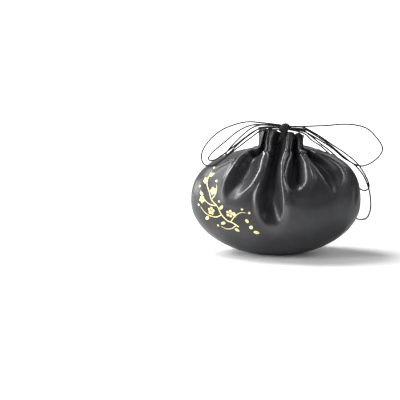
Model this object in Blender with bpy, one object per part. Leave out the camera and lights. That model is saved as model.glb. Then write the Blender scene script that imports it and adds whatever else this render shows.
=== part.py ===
"""Kinchaku drawstring pouch of soft black leather, drawn shut at the neck and tied in a bow.

Metres, +Z up, +X to the right in front view, the front faces -Y.
The origin is the middle of the flat base, on the surface that the pouch stands on.

The pouch is two leather panels, sewn side to side with their seam allowances turned in. A level says how
far down a panel a place is: 0 mouth, 1 foot of the neck, 2 shoulder, 3 widest level, 4 middle of the base.
A share from -1 to 1 says how far across a panel it is, from the left seam to the right one.
"""

import math
from collections import namedtuple

import bmesh
import bpy
import numpy as np

# Leather body
BODY_HALF_WIDTH = 0.080
BODY_HALF_DEPTH = 0.042
WIDEST_HEIGHT = 0.050
SHOULDER_RISE = 0.050  # from the widest level to the top of the shoulders
BASE_PRESS = 0.002  # how far the round bottom is pressed flat
LEATHER = 0.0010
SEAM_ALLOWANCE = 0.005
NECK_ALLOWANCE = 0.002  # the allowance is trimmed narrower in the neck
PANEL_GAP = 0.0003
SEAM_CLEARANCE = 0.0015  # between the turned-in allowances and the folds of their panel

# Gathered neck
NECK_HALF_WIDTH = 0.0215
NECK_HALF_DEPTH = 0.0140
NECK_LENGTH = 0.0163  # from the top of the shoulders to the mouth, at the middle of the front
NECK_FILLET = 0.0030
NECK_SHIFT = 0.0045  # the neck is drawn a little to the right
MOUTH_SLOPE = 0.17  # the mouth falls to the right
BACK_DROP = 0.0060  # and to the back
PLEAT_DEPTH = 0.0080
EDGE_PLEAT_DEPTH = 0.0012  # of the small pleats beside the seams
FOLD_LIP = 0.0012  # how far the leather stands out below the foot of a fold

# Drawcord, doubled, and the knot of its bow
CORD = 0.0010
CORD_CLEARANCE = 0.0003
PUNCH_HEIGHT = 0.0020  # of the punched holes, above the foot of the neck
LACING_INSET = 0.0045  # from the outside of the neck in to the cord, inside the pleats
LACING_START = math.radians(15)  # where the cord leaves for the knot, leftwards from the middle of the front
LACING_END = math.radians(361)
STRAND_PITCH = 0.0014  # between the two strands of the doubled cord
KNOT_WIDTH = 0.0110
KNOT_HEIGHT = 0.0094
KNOT_CORE = 0.0031  # from the knot's middle to its inner turns
KNOT_TURNS = 5
KNOT_RISE = 0.0048  # of the knot's middle, above the mouth
KNOT_RIGHT = 0.0030  # of the knot's middle, to the right of the neck's
KNOT_FORWARD = 0.0010  # of the knot's middle, before the front of the neck

# Form of the levels and the fineness of the meshes
TOP_ANGLE = math.radians(75)  # where the shoulder curve meets the neck fillet
TOP_CURVE = 2.5  # superellipse exponent above the widest level
BASE_CURVE = 2.4  # exponent of the depth below it
SEAM_CURVE = 1.2  # how pointed a level is at its seams
FOOT_ROUND = 0.5  # how much sooner a fold ends at its edges than in its middle, as a share of its foot
FOLD_FLOOR = 3.0  # exponents of a fold's section: how flat its floor is, and how round its edges are
FOLD_EDGE = 1.5
SHARE_LIMIT = 0.99  # the furthest across a panel that a fold's edge can lie
LIP_WIDTH = 1.3  # of the lip below a fold, as a share of the fold
LIP_LENGTH = 0.6  # as a share of the fold's foot
ALLOWANCE_LEVELS = 1.2  # below the foot of the neck, over which the seam allowance widens
LEAST_FACING = 0.3  # share of a fold's depth that runs from front to back, at least
INNER_START = math.radians(72)  # the furthest from the seam that the inner face starts
SHARP_ANGLE = math.radians(60)
ROWS = (4, 2, 12, 9)  # rows of faces between one level number and the next
SEAM_COLUMNS = 4  # columns from a seam to the first fold
FOLD_COLUMNS = 4
RIDGE_COLUMNS = 2
CORD_RESOLUTION = 2
ROUTE_STEPS = 24  # of the smooth curve between two points of a route
LOOP_STEP = 0.0054  # between two points of a loop of the bow
LACING_STEP = 0.0024  # and of the lacing
RING_POINTS = 26
LEAD_SHARES = (0.18, 0.55, 1.0)  # places on the straight way from a hole up to the knot
PUNCH_POINTS = 60
PUNCH_SIDES = 10
KNOT_POINTS = 72
NORMAL_STEP = 0.01  # in levels and in radians, for the normals' differences
TINY = 1e-9

LEATHER_COLOUR = (0.020, 0.020, 0.023, 1.0)
LEATHER_ROUGHNESS = 0.42
CORD_COLOUR = (0.016, 0.016, 0.018, 1.0)
CORD_ROUGHNESS = 0.55

# A fold pressed into a panel: its edges as (level, left share, right share) down to its foot, its depth in
# the neck and in the body, and the length of its rising foot, in levels.
Fold = namedtuple("Fold", "edges neck_depth body_depth foot")

LEFT_PLEAT = Fold(
    ((0.0, -0.92, -0.76), (0.9, -0.94, -0.84), (1.3, -0.95, -0.90)),
    EDGE_PLEAT_DEPTH,
    0.0,
    0.30,
)
LEFT_FOLD = Fold(
    (
        (0.0, -0.69, -0.54),
        (0.9, -0.84, -0.64),
        (2.0, -0.91, -0.56),
        (2.14, -0.79, -0.39),
        (2.3, -0.70, -0.31),
        (2.5, -0.63, -0.26),
        (2.7, -0.62, -0.29),
        (2.94, -0.63, -0.40),
    ),
    PLEAT_DEPTH,
    0.0080,
    0.22,
)
MIDDLE_FOLD = Fold(
    (
        (0.0, -0.28, 0.25),
        (0.9, -0.44, 0.22),
        (2.0, -0.40, 0.11),
        (2.35, -0.20, 0.03),
        (2.65, -0.19, 0.05),
        (2.87, -0.21, 0.09),
        (3.02, -0.20, 0.10),
        (3.23, -0.16, 0.09),
    ),
    PLEAT_DEPTH,
    0.0100,
    0.16,
)
RIGHT_FOLD = Fold(
    (
        (0.0, 0.54, 0.70),
        (0.9, 0.46, 0.77),
        (2.0, 0.33, 0.67),
        (2.37, 0.15, 0.43),
        (2.63, 0.14, 0.41),
        (2.84, 0.19, 0.34),
    ),
    PLEAT_DEPTH,
    0.0090,
    0.14,
)
FAR_RIGHT_FOLD = Fold(
    (
        (0.0, 0.83, 0.93),
        (0.9, 0.86, 0.95),
        (2.0, 0.78, 0.93),
        (2.14, 0.57, 0.87),
        (2.3, 0.52, 0.88),
        (2.5, 0.55, 0.90),
        (2.65, 0.59, 0.86),
        (2.86, 0.64, 0.76),
    ),
    EDGE_PLEAT_DEPTH,
    0.0055,
    0.20,
)
FRONT_FOLDS = (LEFT_PLEAT, LEFT_FOLD, MIDDLE_FOLD, RIGHT_FOLD, FAR_RIGHT_FOLD)
BACK_FOLDS = (
    Fold(
        (
            (0.0, -0.80, -0.62),
            (0.9, -0.82, -0.62),
            (2.0, -0.84, -0.52),
            (2.4, -0.52, -0.26),
            (2.81, -0.44, -0.31),
        ),
        0.0060,
        0.0070,
        0.16,
    ),
    Fold(
        (
            (0.0, -0.42, -0.18),
            (2.0, -0.37, -0.09),
            (2.47, -0.16, 0.07),
            (2.79, -0.13, 0.10),
            (2.97, -0.10, 0.09),
        ),
        PLEAT_DEPTH,
        0.0090,
        0.16,
    ),
    Fold(
        ((0.0, 0.03, 0.23), (2.0, 0.09, 0.34), (2.4, 0.14, 0.34), (2.69, 0.19, 0.38), (2.88, 0.24, 0.36)),
        PLEAT_DEPTH,
        0.0075,
        0.14,
    ),
    Fold(
        ((0.0, 0.48, 0.68), (1.0, 0.54, 0.78), (2.1, 0.46, 0.80), (2.4, 0.48, 0.74), (2.63, 0.53, 0.70)),
        0.0060,
        0.0060,
        0.14,
    ),
)

# Routes of the bow's loops, in millimetres from the knot's middle: out of the knot, round and back into it.
LOOP_ROUTES = {
    "loop_left_outer": (
        (-20.0, 1.0, 4.5),
        (-34.5, 3.0, 5.0),
        (-47.5, 6.0, 1.5),
        (-59.5, 9.0, -4.5),
        (-69.5, 10.0, -13.5),
        (-75.5, 8.0, -22.5),
        (-76.5, 4.0, -29.5),
        (-74.0, 1.0, -34.5),
        (-68.0, -0.5, -36.0),
        (-61.5, -1.0, -33.0),
        (-52.0, -1.5, -25.5),
        (-41.0, -1.0, -17.0),
        (-31.5, -1.5, -9.5),
        (-20.0, -2.0, -2.0),
    ),
    "loop_left_inner": (
        (-20.0, 0.0, 3.0),
        (-31.5, 1.0, 2.0),
        (-43.0, 4.0, -4.0),
        (-54.0, 7.0, -13.5),
        (-65.5, 8.0, -23.5),
        (-70.0, 6.0, -29.0),
        (-68.5, 4.0, -31.5),
        (-64.0, 3.0, -30.5),
        (-58.0, 2.0, -26.5),
        (-49.5, 1.0, -20.0),
        (-38.0, 0.5, -10.5),
        (-28.5, 0.0, -3.5),
        (-20.0, -0.5, 0.0),
    ),
    "loop_left_tail": (
        (-20.0, -2.5, 3.0),
        (-29.5, -3.0, 0.5),
        (-38.0, -3.5, -6.0),
        (-46.5, -4.0, -14.5),
        (-52.5, -5.0, -21.5),
        (-53.5, -5.0, -24.5),
        (-50.0, -4.5, -22.5),
        (-42.0, -3.5, -14.5),
        (-32.5, -3.5, -6.5),
        (-20.0, -3.5, 1.0),
    ),
    "loop_right_big": (
        (15.5, 0.0, 1.5),
        (28.0, 0.5, 2.0),
        (40.0, 1.5, 2.5),
        (53.0, 3.0, 3.5),
        (65.5, 5.0, 2.5),
        (76.0, 7.0, -1.0),
        (84.5, 8.5, -9.0),
        (90.5, 9.5, -18.5),
        (88.5, 9.5, -26.0),
        (81.5, 9.0, -32.5),
        (73.0, 8.0, -36.0),
        (64.5, 7.0, -34.0),
        (55.0, 5.5, -27.0),
        (44.0, 4.0, -17.5),
        (29.5, 2.0, -7.5),
        (17.5, 0.5, -1.0),
    ),
    "loop_right_long": (
        (16.5, 2.5, -3.0),
        (29.5, 5.0, -10.0),
        (44.0, 8.0, -19.5),
        (55.0, 11.0, -29.0),
        (65.5, 14.0, -36.0),
        (74.0, 16.0, -46.5),
        (79.5, 17.0, -59.5),
        (81.5, 18.0, -71.5),
        (81.0, 19.0, -81.5),
        (77.5, 22.0, -88.5),
        (70.0, 29.0, -90.5),
        (63.5, 36.0, -86.5),
        (59.5, 43.0, -75.0),
        (56.0, 44.0, -56.0),
        (48.5, 38.5, -36.5),
        (35.8, 24.3, -21.6),
        (25.5, 12.2, -13.0),
        (17.5, 5.5, -5.5),
    ),
    "loop_right_tail": (
        (16.5, 3.0, 0.5),
        (29.5, 7.0, -6.5),
        (44.0, 11.0, -16.5),
        (55.5, 14.0, -24.5),
        (67.0, 17.0, -34.0),
        (74.0, 19.5, -43.5),
        (79.0, 20.5, -53.5),
        (79.5, 22.0, -59.5),
        (75.5, 26.0, -62.5),
        (70.0, 32.0, -60.0),
        (63.5, 36.0, -50.0),
        (56.0, 34.0, -38.5),
        (44.0, 26.0, -26.0),
        (32.5, 17.0, -16.0),
        (23.0, 9.0, -7.5),
        (16.5, 5.0, -2.5),
    ),
}
# Where each loop leaves the knot's end and comes back to it, as (row back, row up) in a bundle of strands.
LOOP_ENDS = {
    "loop_left_outer": ((0, 2), (-1, -1)),
    "loop_left_inner": ((1, 1), (0, 0)),
    "loop_left_tail": ((-1, 1), (-1, 0)),
    "loop_right_big": ((-1, 1), (-1, 0)),
    "loop_right_long": ((0, -1), (1, -1)),
    "loop_right_tail": ((1, 1), (1, 0)),
}


def smooth(x):
    x = np.clip(x, 0.0, 1.0)
    return x * x * (3 - 2 * x)


def unit(v):
    return v / np.maximum(np.linalg.norm(v, axis=-1, keepdims=True), TINY)


def track(x, xs, ys):
    """Smooth curve through the points (xs, ys), read at x and level beyond its ends."""
    xs, ys = np.array(xs), np.array(ys)
    slopes = np.gradient(ys, xs)
    i = np.clip(np.searchsorted(xs, x) - 1, 0, len(xs) - 2)
    span = xs[i + 1] - xs[i]
    t = np.clip((x - xs[i]) / span, 0.0, 1.0)
    start, end = (1 + 2 * t) * (1 - t) ** 2, t * t * (3 - 2 * t)
    leave, arrive = t * (1 - t) ** 2, t * t * (t - 1)
    return start * ys[i] + end * ys[i + 1] + span * (leave * slopes[i] + arrive * slopes[i + 1])


def level_form(q):
    """Half width, half depth, height and sideways shift of the plain body at levels q."""
    q = np.asarray(q, float)
    top = WIDEST_HEIGHT + SHOULDER_RISE
    mouth, neck_foot = top + NECK_LENGTH, top + NECK_FILLET
    top_share = math.cos(TOP_ANGLE) ** (2 / TOP_CURVE)
    shoulder = WIDEST_HEIGHT + SHOULDER_RISE * math.sin(TOP_ANGLE) ** (2 / TOP_CURVE)

    f = np.clip(q - 1, 0.0, 1.0)
    upper = TOP_ANGLE * np.clip(3 - q, 0.0, 1.0)
    lower = math.pi / 2 * np.clip(q - 3, 0.0, 1.0)
    upper_share = np.cos(upper) ** (2 / TOP_CURVE)
    lower_share = np.clip(np.cos(lower), 0.0, 1.0)

    def half(neck, body, lower_half):
        body_half = np.where(q <= 3, body * upper_share, lower_half)
        return np.where(q <= 2, neck + f * f * (body * top_share - neck), body_half)

    width = half(NECK_HALF_WIDTH, BODY_HALF_WIDTH, BODY_HALF_WIDTH * lower_share)
    depth = half(NECK_HALF_DEPTH, BODY_HALF_DEPTH, BODY_HALF_DEPTH * lower_share ** (2 / BASE_CURVE))
    neck = mouth + (neck_foot - mouth) * np.clip(q, 0.0, 1.0)
    fillet = (1 - f) ** 2 * neck_foot + f * (1 - f) * (shoulder + top) + f * f * shoulder
    rounded = WIDEST_HEIGHT + SHOULDER_RISE * np.sin(upper) ** (2 / TOP_CURVE)
    bottom = np.maximum(0.0, WIDEST_HEIGHT - (WIDEST_HEIGHT + BASE_PRESS) * np.sin(lower))
    height = np.where(q <= 1, neck, np.where(q <= 2, fillet, np.where(q <= 3, rounded, bottom)))
    return width, depth, height, NECK_SHIFT * smooth(3 - q)


def plain_body(q, angle, side):
    """Points of the body without its folds. The angle runs from 0 at the left seam to pi at the right one."""
    width, depth, height, shift = level_form(q)
    across = -width * np.cos(angle)
    out = depth * np.clip(np.sin(angle), 0.0, 1.0) ** SEAM_CURVE
    tilt = MOUTH_SLOPE * across + (BACK_DROP * out / NECK_HALF_DEPTH if side > 0 else 0.0)
    return np.stack([shift + across, side * (PANEL_GAP / 2 + out), height - tilt * smooth(1 - q)], axis=-1)


def body_normal(q, angle, side):
    """Outward normals of the plain body, and how far a point moves for each radian of its angle."""
    step = NORMAL_STEP
    angle = np.clip(angle, 2 * step, math.pi - 2 * step)
    q = np.clip(q, step, 4 - 2 * step)
    across = (plain_body(q, angle + step, side) - plain_body(q, angle - step, side)) / (2 * step)
    down = plain_body(q + step, angle, side) - plain_body(q - step, angle, side)
    return -side * unit(np.cross(down, across)), np.linalg.norm(across, axis=-1)


def fold_edges(fold, q):
    """Angles of a fold's left and right edge at levels q."""
    levels, left, right = zip(*fold.edges, strict=True)
    shares = [np.clip(track(q, levels, edge), -SHARE_LIMIT, SHARE_LIMIT) for edge in (left, right)]
    return [np.arccos(-share) for share in shares]


def fold_depth(folds, q, angle, speed, inset):
    """How deep the folds press in, and how far the leather stands out below their feet."""
    depth, lip = np.zeros(np.shape(angle)), np.zeros(np.shape(angle))
    for fold in folds:
        left, right = fold_edges(fold, q)
        half = np.maximum((right - left) / 2 + inset / np.maximum(speed, TINY), TINY)
        s = np.abs(angle - (left + right) / 2) / half
        foot = fold.edges[-1][0] + inset / WIDEST_HEIGHT
        length = fold.neck_depth + (fold.body_depth - fold.neck_depth) * smooth(q - 1)
        rise = smooth((foot - FOOT_ROUND * fold.foot * s * s - q) / fold.foot)
        section = np.clip(1 - s**FOLD_FLOOR, 0.0, 1.0) ** FOLD_EDGE
        depth = np.maximum(depth, length * rise * section)
        if fold.body_depth > 0:
            reach = LIP_LENGTH * fold.foot
            near = np.exp(-(((q - foot - reach) / reach) ** 2))
            lip = np.maximum(lip, FOLD_LIP * near * np.clip(1 - (s / LIP_WIDTH) ** 2, 0.0, 1.0) ** 2)
    return depth, lip


def leather(q, angle, side, folds, inset):
    """Points of a panel's face: its outer one at inset 0, its inner one at the thickness of the leather."""
    place = plain_body(q, angle, side)
    normal, speed = body_normal(q, angle, side)
    depth, lip = fold_depth(folds, q, angle, speed, inset)
    room = np.abs(place[..., 1]) - PANEL_GAP / 2 - LEATHER - SEAM_CLEARANCE
    depth = np.minimum(depth, np.maximum(room, 0.0) / np.maximum(np.abs(normal[..., 1]), LEAST_FACING))
    return place - normal * (inset + depth - lip)[..., None]


def row_levels():
    levels = [number + step / rows for number, rows in enumerate(ROWS) for step in range(rows)]
    return np.array(levels + [4.0])


def column_angles(q, folds):
    """Angles of a panel's columns at each level: they follow the folds' edges from the mouth to the base."""
    edges = [np.zeros_like(q)]
    steps = [SEAM_COLUMNS]
    for fold in folds:
        edges += fold_edges(fold, q)
        steps += [FOLD_COLUMNS, RIDGE_COLUMNS]
    edges.append(np.full_like(q, math.pi))
    steps[-1] = SEAM_COLUMNS
    columns = []
    for start, end, count in zip(edges[:-1], edges[1:], steps, strict=True):
        columns += [start + (end - start) * step / count for step in range(count)]
    return np.stack(columns + [edges[-1]], axis=1)


def inner_angles(angles, q):
    """The same columns for the inner face, which starts beside the turned-in allowance."""
    beside = LEATHER + SEAM_CLEARANCE
    share = beside / np.maximum(level_form(q)[1], beside)
    start = np.minimum(np.arcsin(share ** (1 / SEAM_CURVE)), INNER_START)[:, None]
    first, last = angles[:, [SEAM_COLUMNS]], angles[:, [-1 - SEAM_COLUMNS]]
    inner = np.where(angles < first, start + angles * (first - start) / first, angles)
    tail = math.pi - start
    return np.where(angles > last, last + (angles - last) * (tail - last) / (math.pi - last), inner)


def panel_points(side, folds):
    """Outer and inner grid of a panel, each with its turned-in allowance as the first and last column."""
    q = row_levels()
    angles = column_angles(q, folds)
    rows = q[:, None] + np.zeros_like(angles)
    outer = leather(rows, angles, side, folds, 0.0)
    inner = leather(rows, inner_angles(angles, q), side, folds, LEATHER)
    near, far = side * PANEL_GAP / 2, side * (PANEL_GAP / 2 + LEATHER)
    inner[-1] = (0.0, far, LEATHER)
    inner[:, [0, -1], 1] = far
    widen = smooth((q - 1) / ALLOWANCE_LEVELS)[:, None]
    allowance = NECK_ALLOWANCE + (SEAM_ALLOWANCE - NECK_ALLOWANCE) * widen
    grids = [[], []]
    for column in (0, -1):
        inward = -body_normal(q, angles[:, column], side)[0]
        inward[-1] = (0.0, 0.0, 1.0)
        inward[:, 1] = 0.0
        edge = outer[:, column] + unit(inward) * allowance
        for grid, y in zip(grids, (near, far), strict=True):
            grid.append(np.stack([edge[:, 0], np.full(len(q), y), edge[:, 2]], axis=1)[:, None])
    faces = zip(grids, (outer, inner), strict=True)
    return [np.concatenate([left, points, right], axis=1) for (left, right), points in faces]


def mesh_object(name, mesh, colour, roughness):
    """Adds a finished mesh as an object of its own material, shaded smooth."""
    material = bpy.data.materials.new(name)
    material.use_nodes = True
    shader = material.node_tree.nodes["Principled BSDF"]
    shader.inputs["Base Color"].default_value = colour
    shader.inputs["Roughness"].default_value = roughness
    shader.inputs["Metallic"].default_value = 0.0
    mesh.materials.append(material)
    piece = bpy.data.objects.new(name, mesh)
    bpy.context.scene.collection.objects.link(piece)
    return piece


def panel(name, side, folds):
    """One leather panel as a closed shell of even thickness, open at the mouth."""
    bm = bmesh.new()
    grids = []
    for points in panel_points(side, folds):
        rows = [[bm.verts.new(p) for p in row] for row in points[:-1]]
        pole, turned = bm.verts.new(points[-1, 1]), bm.verts.new(points[-1, 0])
        rows.append([turned] + [pole] * (points.shape[1] - 2) + [turned])
        grids.append(rows)
    outer, inner = grids

    def face(*corners):
        corners = list(dict.fromkeys(corners))
        if len(corners) > 2:
            bm.faces.new(corners)

    for grid in grids:
        for upper, lower in zip(grid, grid[1:]):
            for j in range(len(upper) - 1):
                face(upper[j], upper[j + 1], lower[j + 1], lower[j])
    for j in range(len(outer[0]) - 1):
        face(outer[0][j], outer[0][j + 1], inner[0][j + 1], inner[0][j])
    for j in (0, -1):
        for i in range(len(outer) - 1):
            face(outer[i][j], outer[i + 1][j], inner[i + 1][j], inner[i][j])
    bmesh.ops.recalc_face_normals(bm, faces=bm.faces)
    mesh = bpy.data.meshes.new(name)
    bm.to_mesh(mesh)
    bm.free()
    mesh.shade_smooth()
    mesh.set_sharp_from_angle(angle=SHARP_ANGLE)
    return mesh_object(name, mesh, LEATHER_COLOUR, LEATHER_ROUGHNESS)


def even_curve(points, step):
    """Points about a step apart on a smooth curve through a route's own points."""
    p = np.array(points, float)
    p = np.vstack([2 * p[0] - p[1], p, 2 * p[-1] - p[-2]])
    fine = []
    for a, b, c, d in zip(p, p[1:], p[2:], p[3:]):
        t = np.linspace(0, 1, ROUTE_STEPS, endpoint=False)[:, None]
        bend, twist = 2 * a - 5 * b + 4 * c - d, 3 * b - a - 3 * c + d
        fine.append(b + 0.5 * ((c - a) * t + bend * t**2 + twist * t**3))
    fine = np.vstack(fine + [p[-2:-1]])
    along = np.concatenate([[0], np.cumsum(np.linalg.norm(np.diff(fine, axis=0), axis=1))])
    at = np.linspace(0, along[-1], 1 + math.ceil(along[-1] / step))
    return np.stack([np.interp(at, along, fine[:, k]) for k in range(3)], axis=1)


def cord(name, points, closed=False):
    """A round cord along the given points, with filled ends unless it is closed."""
    curve = bpy.data.curves.new(name, "CURVE")
    curve.dimensions = "3D"
    curve.bevel_depth = CORD / 2
    curve.bevel_resolution = CORD_RESOLUTION
    curve.use_fill_caps = not closed
    spline = curve.splines.new("POLY")
    spline.points.add(len(points) - 1)
    for place, point in zip(spline.points, points, strict=True):
        place.co = (*point, 1.0)
    spline.use_cyclic_u = closed
    return mesh_object(name, curve, CORD_COLOUR, CORD_ROUGHNESS)


def knot_middle():
    mouth = WIDEST_HEIGHT + SHOULDER_RISE + NECK_LENGTH
    return np.array([NECK_SHIFT + KNOT_RIGHT, -NECK_HALF_DEPTH - KNOT_FORWARD, mouth + KNOT_RISE])


def knot_points():
    """One cord wound round the knot's long axis and through its own turns, back to where it started."""
    thick = KNOT_HEIGHT / 2 - CORD / 2 - KNOT_CORE
    t = np.linspace(0, 2 * math.pi, KNOT_POINTS, endpoint=False)
    radius = KNOT_CORE + thick * np.cos(2 * t)
    long = (KNOT_WIDTH - CORD) / 2 * np.sin(2 * t)
    turn = KNOT_TURNS * t
    return knot_middle() + np.stack([long, radius * np.sin(turn), radius * np.cos(turn)], axis=1)


def lacing_middle():
    return WIDEST_HEIGHT + SHOULDER_RISE + NECK_FILLET + PUNCH_HEIGHT


def lacing_ring(start, end, count):
    """Points round the neck inside its pleats, by angle from the middle of the front, leftwards."""
    turn = np.linspace(start, end, count)
    x = NECK_SHIFT - (NECK_HALF_WIDTH - LACING_INSET) * np.sin(turn)
    y = -(NECK_HALF_DEPTH - LACING_INSET) * np.cos(turn)
    return np.stack([x, y, np.full(count, lacing_middle())], axis=1)


def lacing_points(strand):
    """One strand, 1 or -1, of the doubled drawcord: from the knot round the neck in its holes, and back."""
    ring = lacing_ring(LACING_START, LACING_END, RING_POINTS)
    foot = knot_middle() - (0.0, 0.0, KNOT_HEIGHT / 2 + CORD / 2 + CORD_CLEARANCE)
    leads = [
        [hole + share * (foot + (side * STRAND_PITCH, 0.0, 0.0) - hole) for share in LEAD_SHARES]
        for side, hole in ((-1, ring[0]), (1, ring[-1]))
    ]
    middle = even_curve(np.vstack([leads[0][::-1], ring, leads[1]]), LACING_STEP)
    along = unit(np.gradient(middle, axis=0))
    out = (middle - (NECK_SHIFT, 0.0, 0.0)) * (1.0, 1.0, 0.0)
    return middle + unit(np.cross(along, out)) * strand * STRAND_PITCH / 2


def loop_points(name):
    """A bow loop's points, from the knot's end out along its route and back."""
    knot = knot_middle()
    side = math.copysign(1, LOOP_ROUTES[name][0][0])
    start = side * (KNOT_WIDTH / 2 + CORD_CLEARANCE)
    leave, arrive = [knot + (start, back * STRAND_PITCH, up * STRAND_PITCH) for back, up in LOOP_ENDS[name]]
    route = knot + np.array(LOOP_ROUTES[name]) / 1000
    return even_curve(np.vstack([leave, route, arrive]), LOOP_STEP)


def punch(panels):
    """Cuts the holes that the doubled cord runs through: one oval tube along it, taken out of the panels."""
    ring = lacing_ring(LACING_START, LACING_END, PUNCH_POINTS)
    radius = (CORD / 2 + CORD_CLEARANCE) / math.cos(math.pi / PUNCH_SIDES)
    tall = radius + STRAND_PITCH / 2
    out = np.cross(unit(np.gradient(ring, axis=0)), (0.0, 0.0, 1.0))
    turn = 2 * math.pi * np.arange(PUNCH_SIDES) / PUNCH_SIDES
    bm = bmesh.new()
    rings = []
    for place, sideways in zip(ring, out, strict=True):
        level = np.outer(radius * np.cos(turn), sideways)
        corners = place + level + np.outer(tall * np.sin(turn), (0.0, 0.0, 1.0))
        rings.append([bm.verts.new(corner) for corner in corners])
    for a, b in zip(rings, rings[1:]):
        for k in range(PUNCH_SIDES):
            after = (k + 1) % PUNCH_SIDES
            bm.faces.new((a[k], a[after], b[after], b[k]))
    bm.faces.new(rings[0])
    bm.faces.new(rings[-1])
    bmesh.ops.recalc_face_normals(bm, faces=bm.faces)
    mesh = bpy.data.meshes.new("punch")
    bm.to_mesh(mesh)
    bm.free()
    cutter = bpy.data.objects.new("punch", mesh)
    bpy.context.scene.collection.objects.link(cutter)
    cutter.hide_render = True
    cutter.display_type = "WIRE"
    for piece in panels:
        cut = piece.modifiers.new("holes", "BOOLEAN")
        cut.operation = "DIFFERENCE"
        cut.solver = "EXACT"
        cut.object = cutter


def main():
    for old in list(bpy.context.scene.objects):
        bpy.data.objects.remove(old)
    front = panel("front_panel", -1, FRONT_FOLDS)
    back = panel("back_panel", 1, BACK_FOLDS)
    punch((front, back))
    cord("drawcord_lacing_upper", lacing_points(1))
    cord("drawcord_lacing_lower", lacing_points(-1))
    cord("bow_knot", knot_points(), closed=True)
    for name in LOOP_ROUTES:
        cord(name, loop_points(name))


main()
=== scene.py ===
"""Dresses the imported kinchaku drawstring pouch: pleated leather, waxed cords, foil sprig and studio.

Metres, +Z up, the front faces -Y, the origin is the middle of the base on the floor.
A level says how far down a panel a place is: 0 mouth, 1 foot of the neck, 2 shoulder, 3 widest level,
4 middle of the base. A share from -1 to 1 says how far across it is, from the left seam to the right one.
"""

import math
from collections import namedtuple

import bmesh
import bpy
import numpy as np
from bpy.props import FloatProperty, FloatVectorProperty, IntProperty, PointerProperty
from bpy.types import Operator, Panel, PropertyGroup
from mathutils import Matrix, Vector, noise
from mathutils.bvhtree import BVHTree


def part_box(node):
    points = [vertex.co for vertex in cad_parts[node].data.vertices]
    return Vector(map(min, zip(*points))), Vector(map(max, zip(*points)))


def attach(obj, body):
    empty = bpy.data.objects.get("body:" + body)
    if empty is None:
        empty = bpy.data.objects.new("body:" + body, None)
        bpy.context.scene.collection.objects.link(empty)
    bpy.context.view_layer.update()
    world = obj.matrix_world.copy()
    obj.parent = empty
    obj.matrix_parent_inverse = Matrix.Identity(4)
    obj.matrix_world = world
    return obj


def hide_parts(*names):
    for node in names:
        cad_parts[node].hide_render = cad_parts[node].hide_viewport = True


bl_info = {
    "name": "Kinchaku Pouch Dressing",
    "version": (1, 0, 0),
    "blender": (4, 5, 0),
    "location": "View3D > Sidebar > Pouch",
    "description": "Leather, cords, foil and studio for the kinchaku drawstring pouch",
    "category": "Object",
}

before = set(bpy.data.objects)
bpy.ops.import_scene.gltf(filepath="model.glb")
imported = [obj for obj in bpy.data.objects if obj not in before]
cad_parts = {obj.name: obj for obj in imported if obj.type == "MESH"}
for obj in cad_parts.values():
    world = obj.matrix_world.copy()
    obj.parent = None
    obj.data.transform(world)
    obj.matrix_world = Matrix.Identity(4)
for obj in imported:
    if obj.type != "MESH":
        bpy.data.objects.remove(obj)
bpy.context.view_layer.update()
FRONT_LOW, FRONT_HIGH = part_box("front_panel")
KNOT_LOW, KNOT_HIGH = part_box("bow_knot")

# Leather body, as in the frame
BODY_HALF_WIDTH = (FRONT_HIGH.x - FRONT_LOW.x) / 2
BODY_HALF_DEPTH = 0.042
WIDEST_HEIGHT = 0.050
SHOULDER_RISE = 0.050
BASE_PRESS = 0.002
LEATHER = 0.0010
SEAM_ALLOWANCE = 0.005
NECK_ALLOWANCE = 0.002
PANEL_GAP = 0.00004
SEAM_CLEARANCE = 0.0015

# Gathered neck
NECK_HALF_WIDTH = 0.0215
NECK_HALF_DEPTH = 0.0140
NECK_LENGTH = 0.0163
NECK_FILLET = 0.0055
NECK_SHIFT = 0.0045
MOUTH_SLOPE = 0.17
MOUTH_WAVE = 0.0024
BACK_DROP = 0.0060

# The neck flares towards its foot, and from there a tent of leather swells out to the widest level
NECK_FLARE = 0.0042
FLARE_CURVE = 1.4
TENT_START = 0.0070
TENT_CURVE = 1.7
TENT_TOP = 1.15

# Outline from the shoulder to the base
TOP_ANGLE = math.radians(75)
TOP_CURVE = 2.5
SHOULDER_LIFT = 0.0010
SHOULDER_LEVELS = 0.8
BASE_CURVE = 2.0
SEAM_CURVE = 1.2
ALLOWANCE_LEVELS = 1.2
INNER_START = math.radians(72)

# Folds: their depth, the form of their floor and edges, and the room that they need before the other panel
PLEAT_DEPTH = 0.0100
EDGE_PLEAT_DEPTH = 0.0012
REACH_CURVE = 3.0
FOLD_FLOOR = 2.0
FOLD_EDGE = 1.6
FOLD_ROOM = 0.003
LEAST_FACING = 0.5

# Roll of leather round a fold's edges: wider and higher on the right, and lower at the foot
FOLD_RIM = 0.0019
RIM_PLACE = 1.13
RIM_WIDTH = 0.25
RIM_WIDTHS = (0.7, 0.6)
RIM_HEIGHTS = (0.65, 0.45)
RIM_FOOT_LOSS = 0.75
RIM_START = -0.6
RIM_LEVELS = 1.6
RIM_ROOM = 0.006

# Skin: the seam's groove, how far from the seam and the floor the leather lies calm, and the creases' lips
GROOVE_WIDTH = 0.0022
SEAM_CALM = 0.006
FLOOR_CALM = 0.004
LIP_SHARE = 0.45
LIP_PLACE = 1.9
CREASE_FADE = 0.3
SHARP_ANGLE = math.radians(65)
TINY = 1e-9

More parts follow.
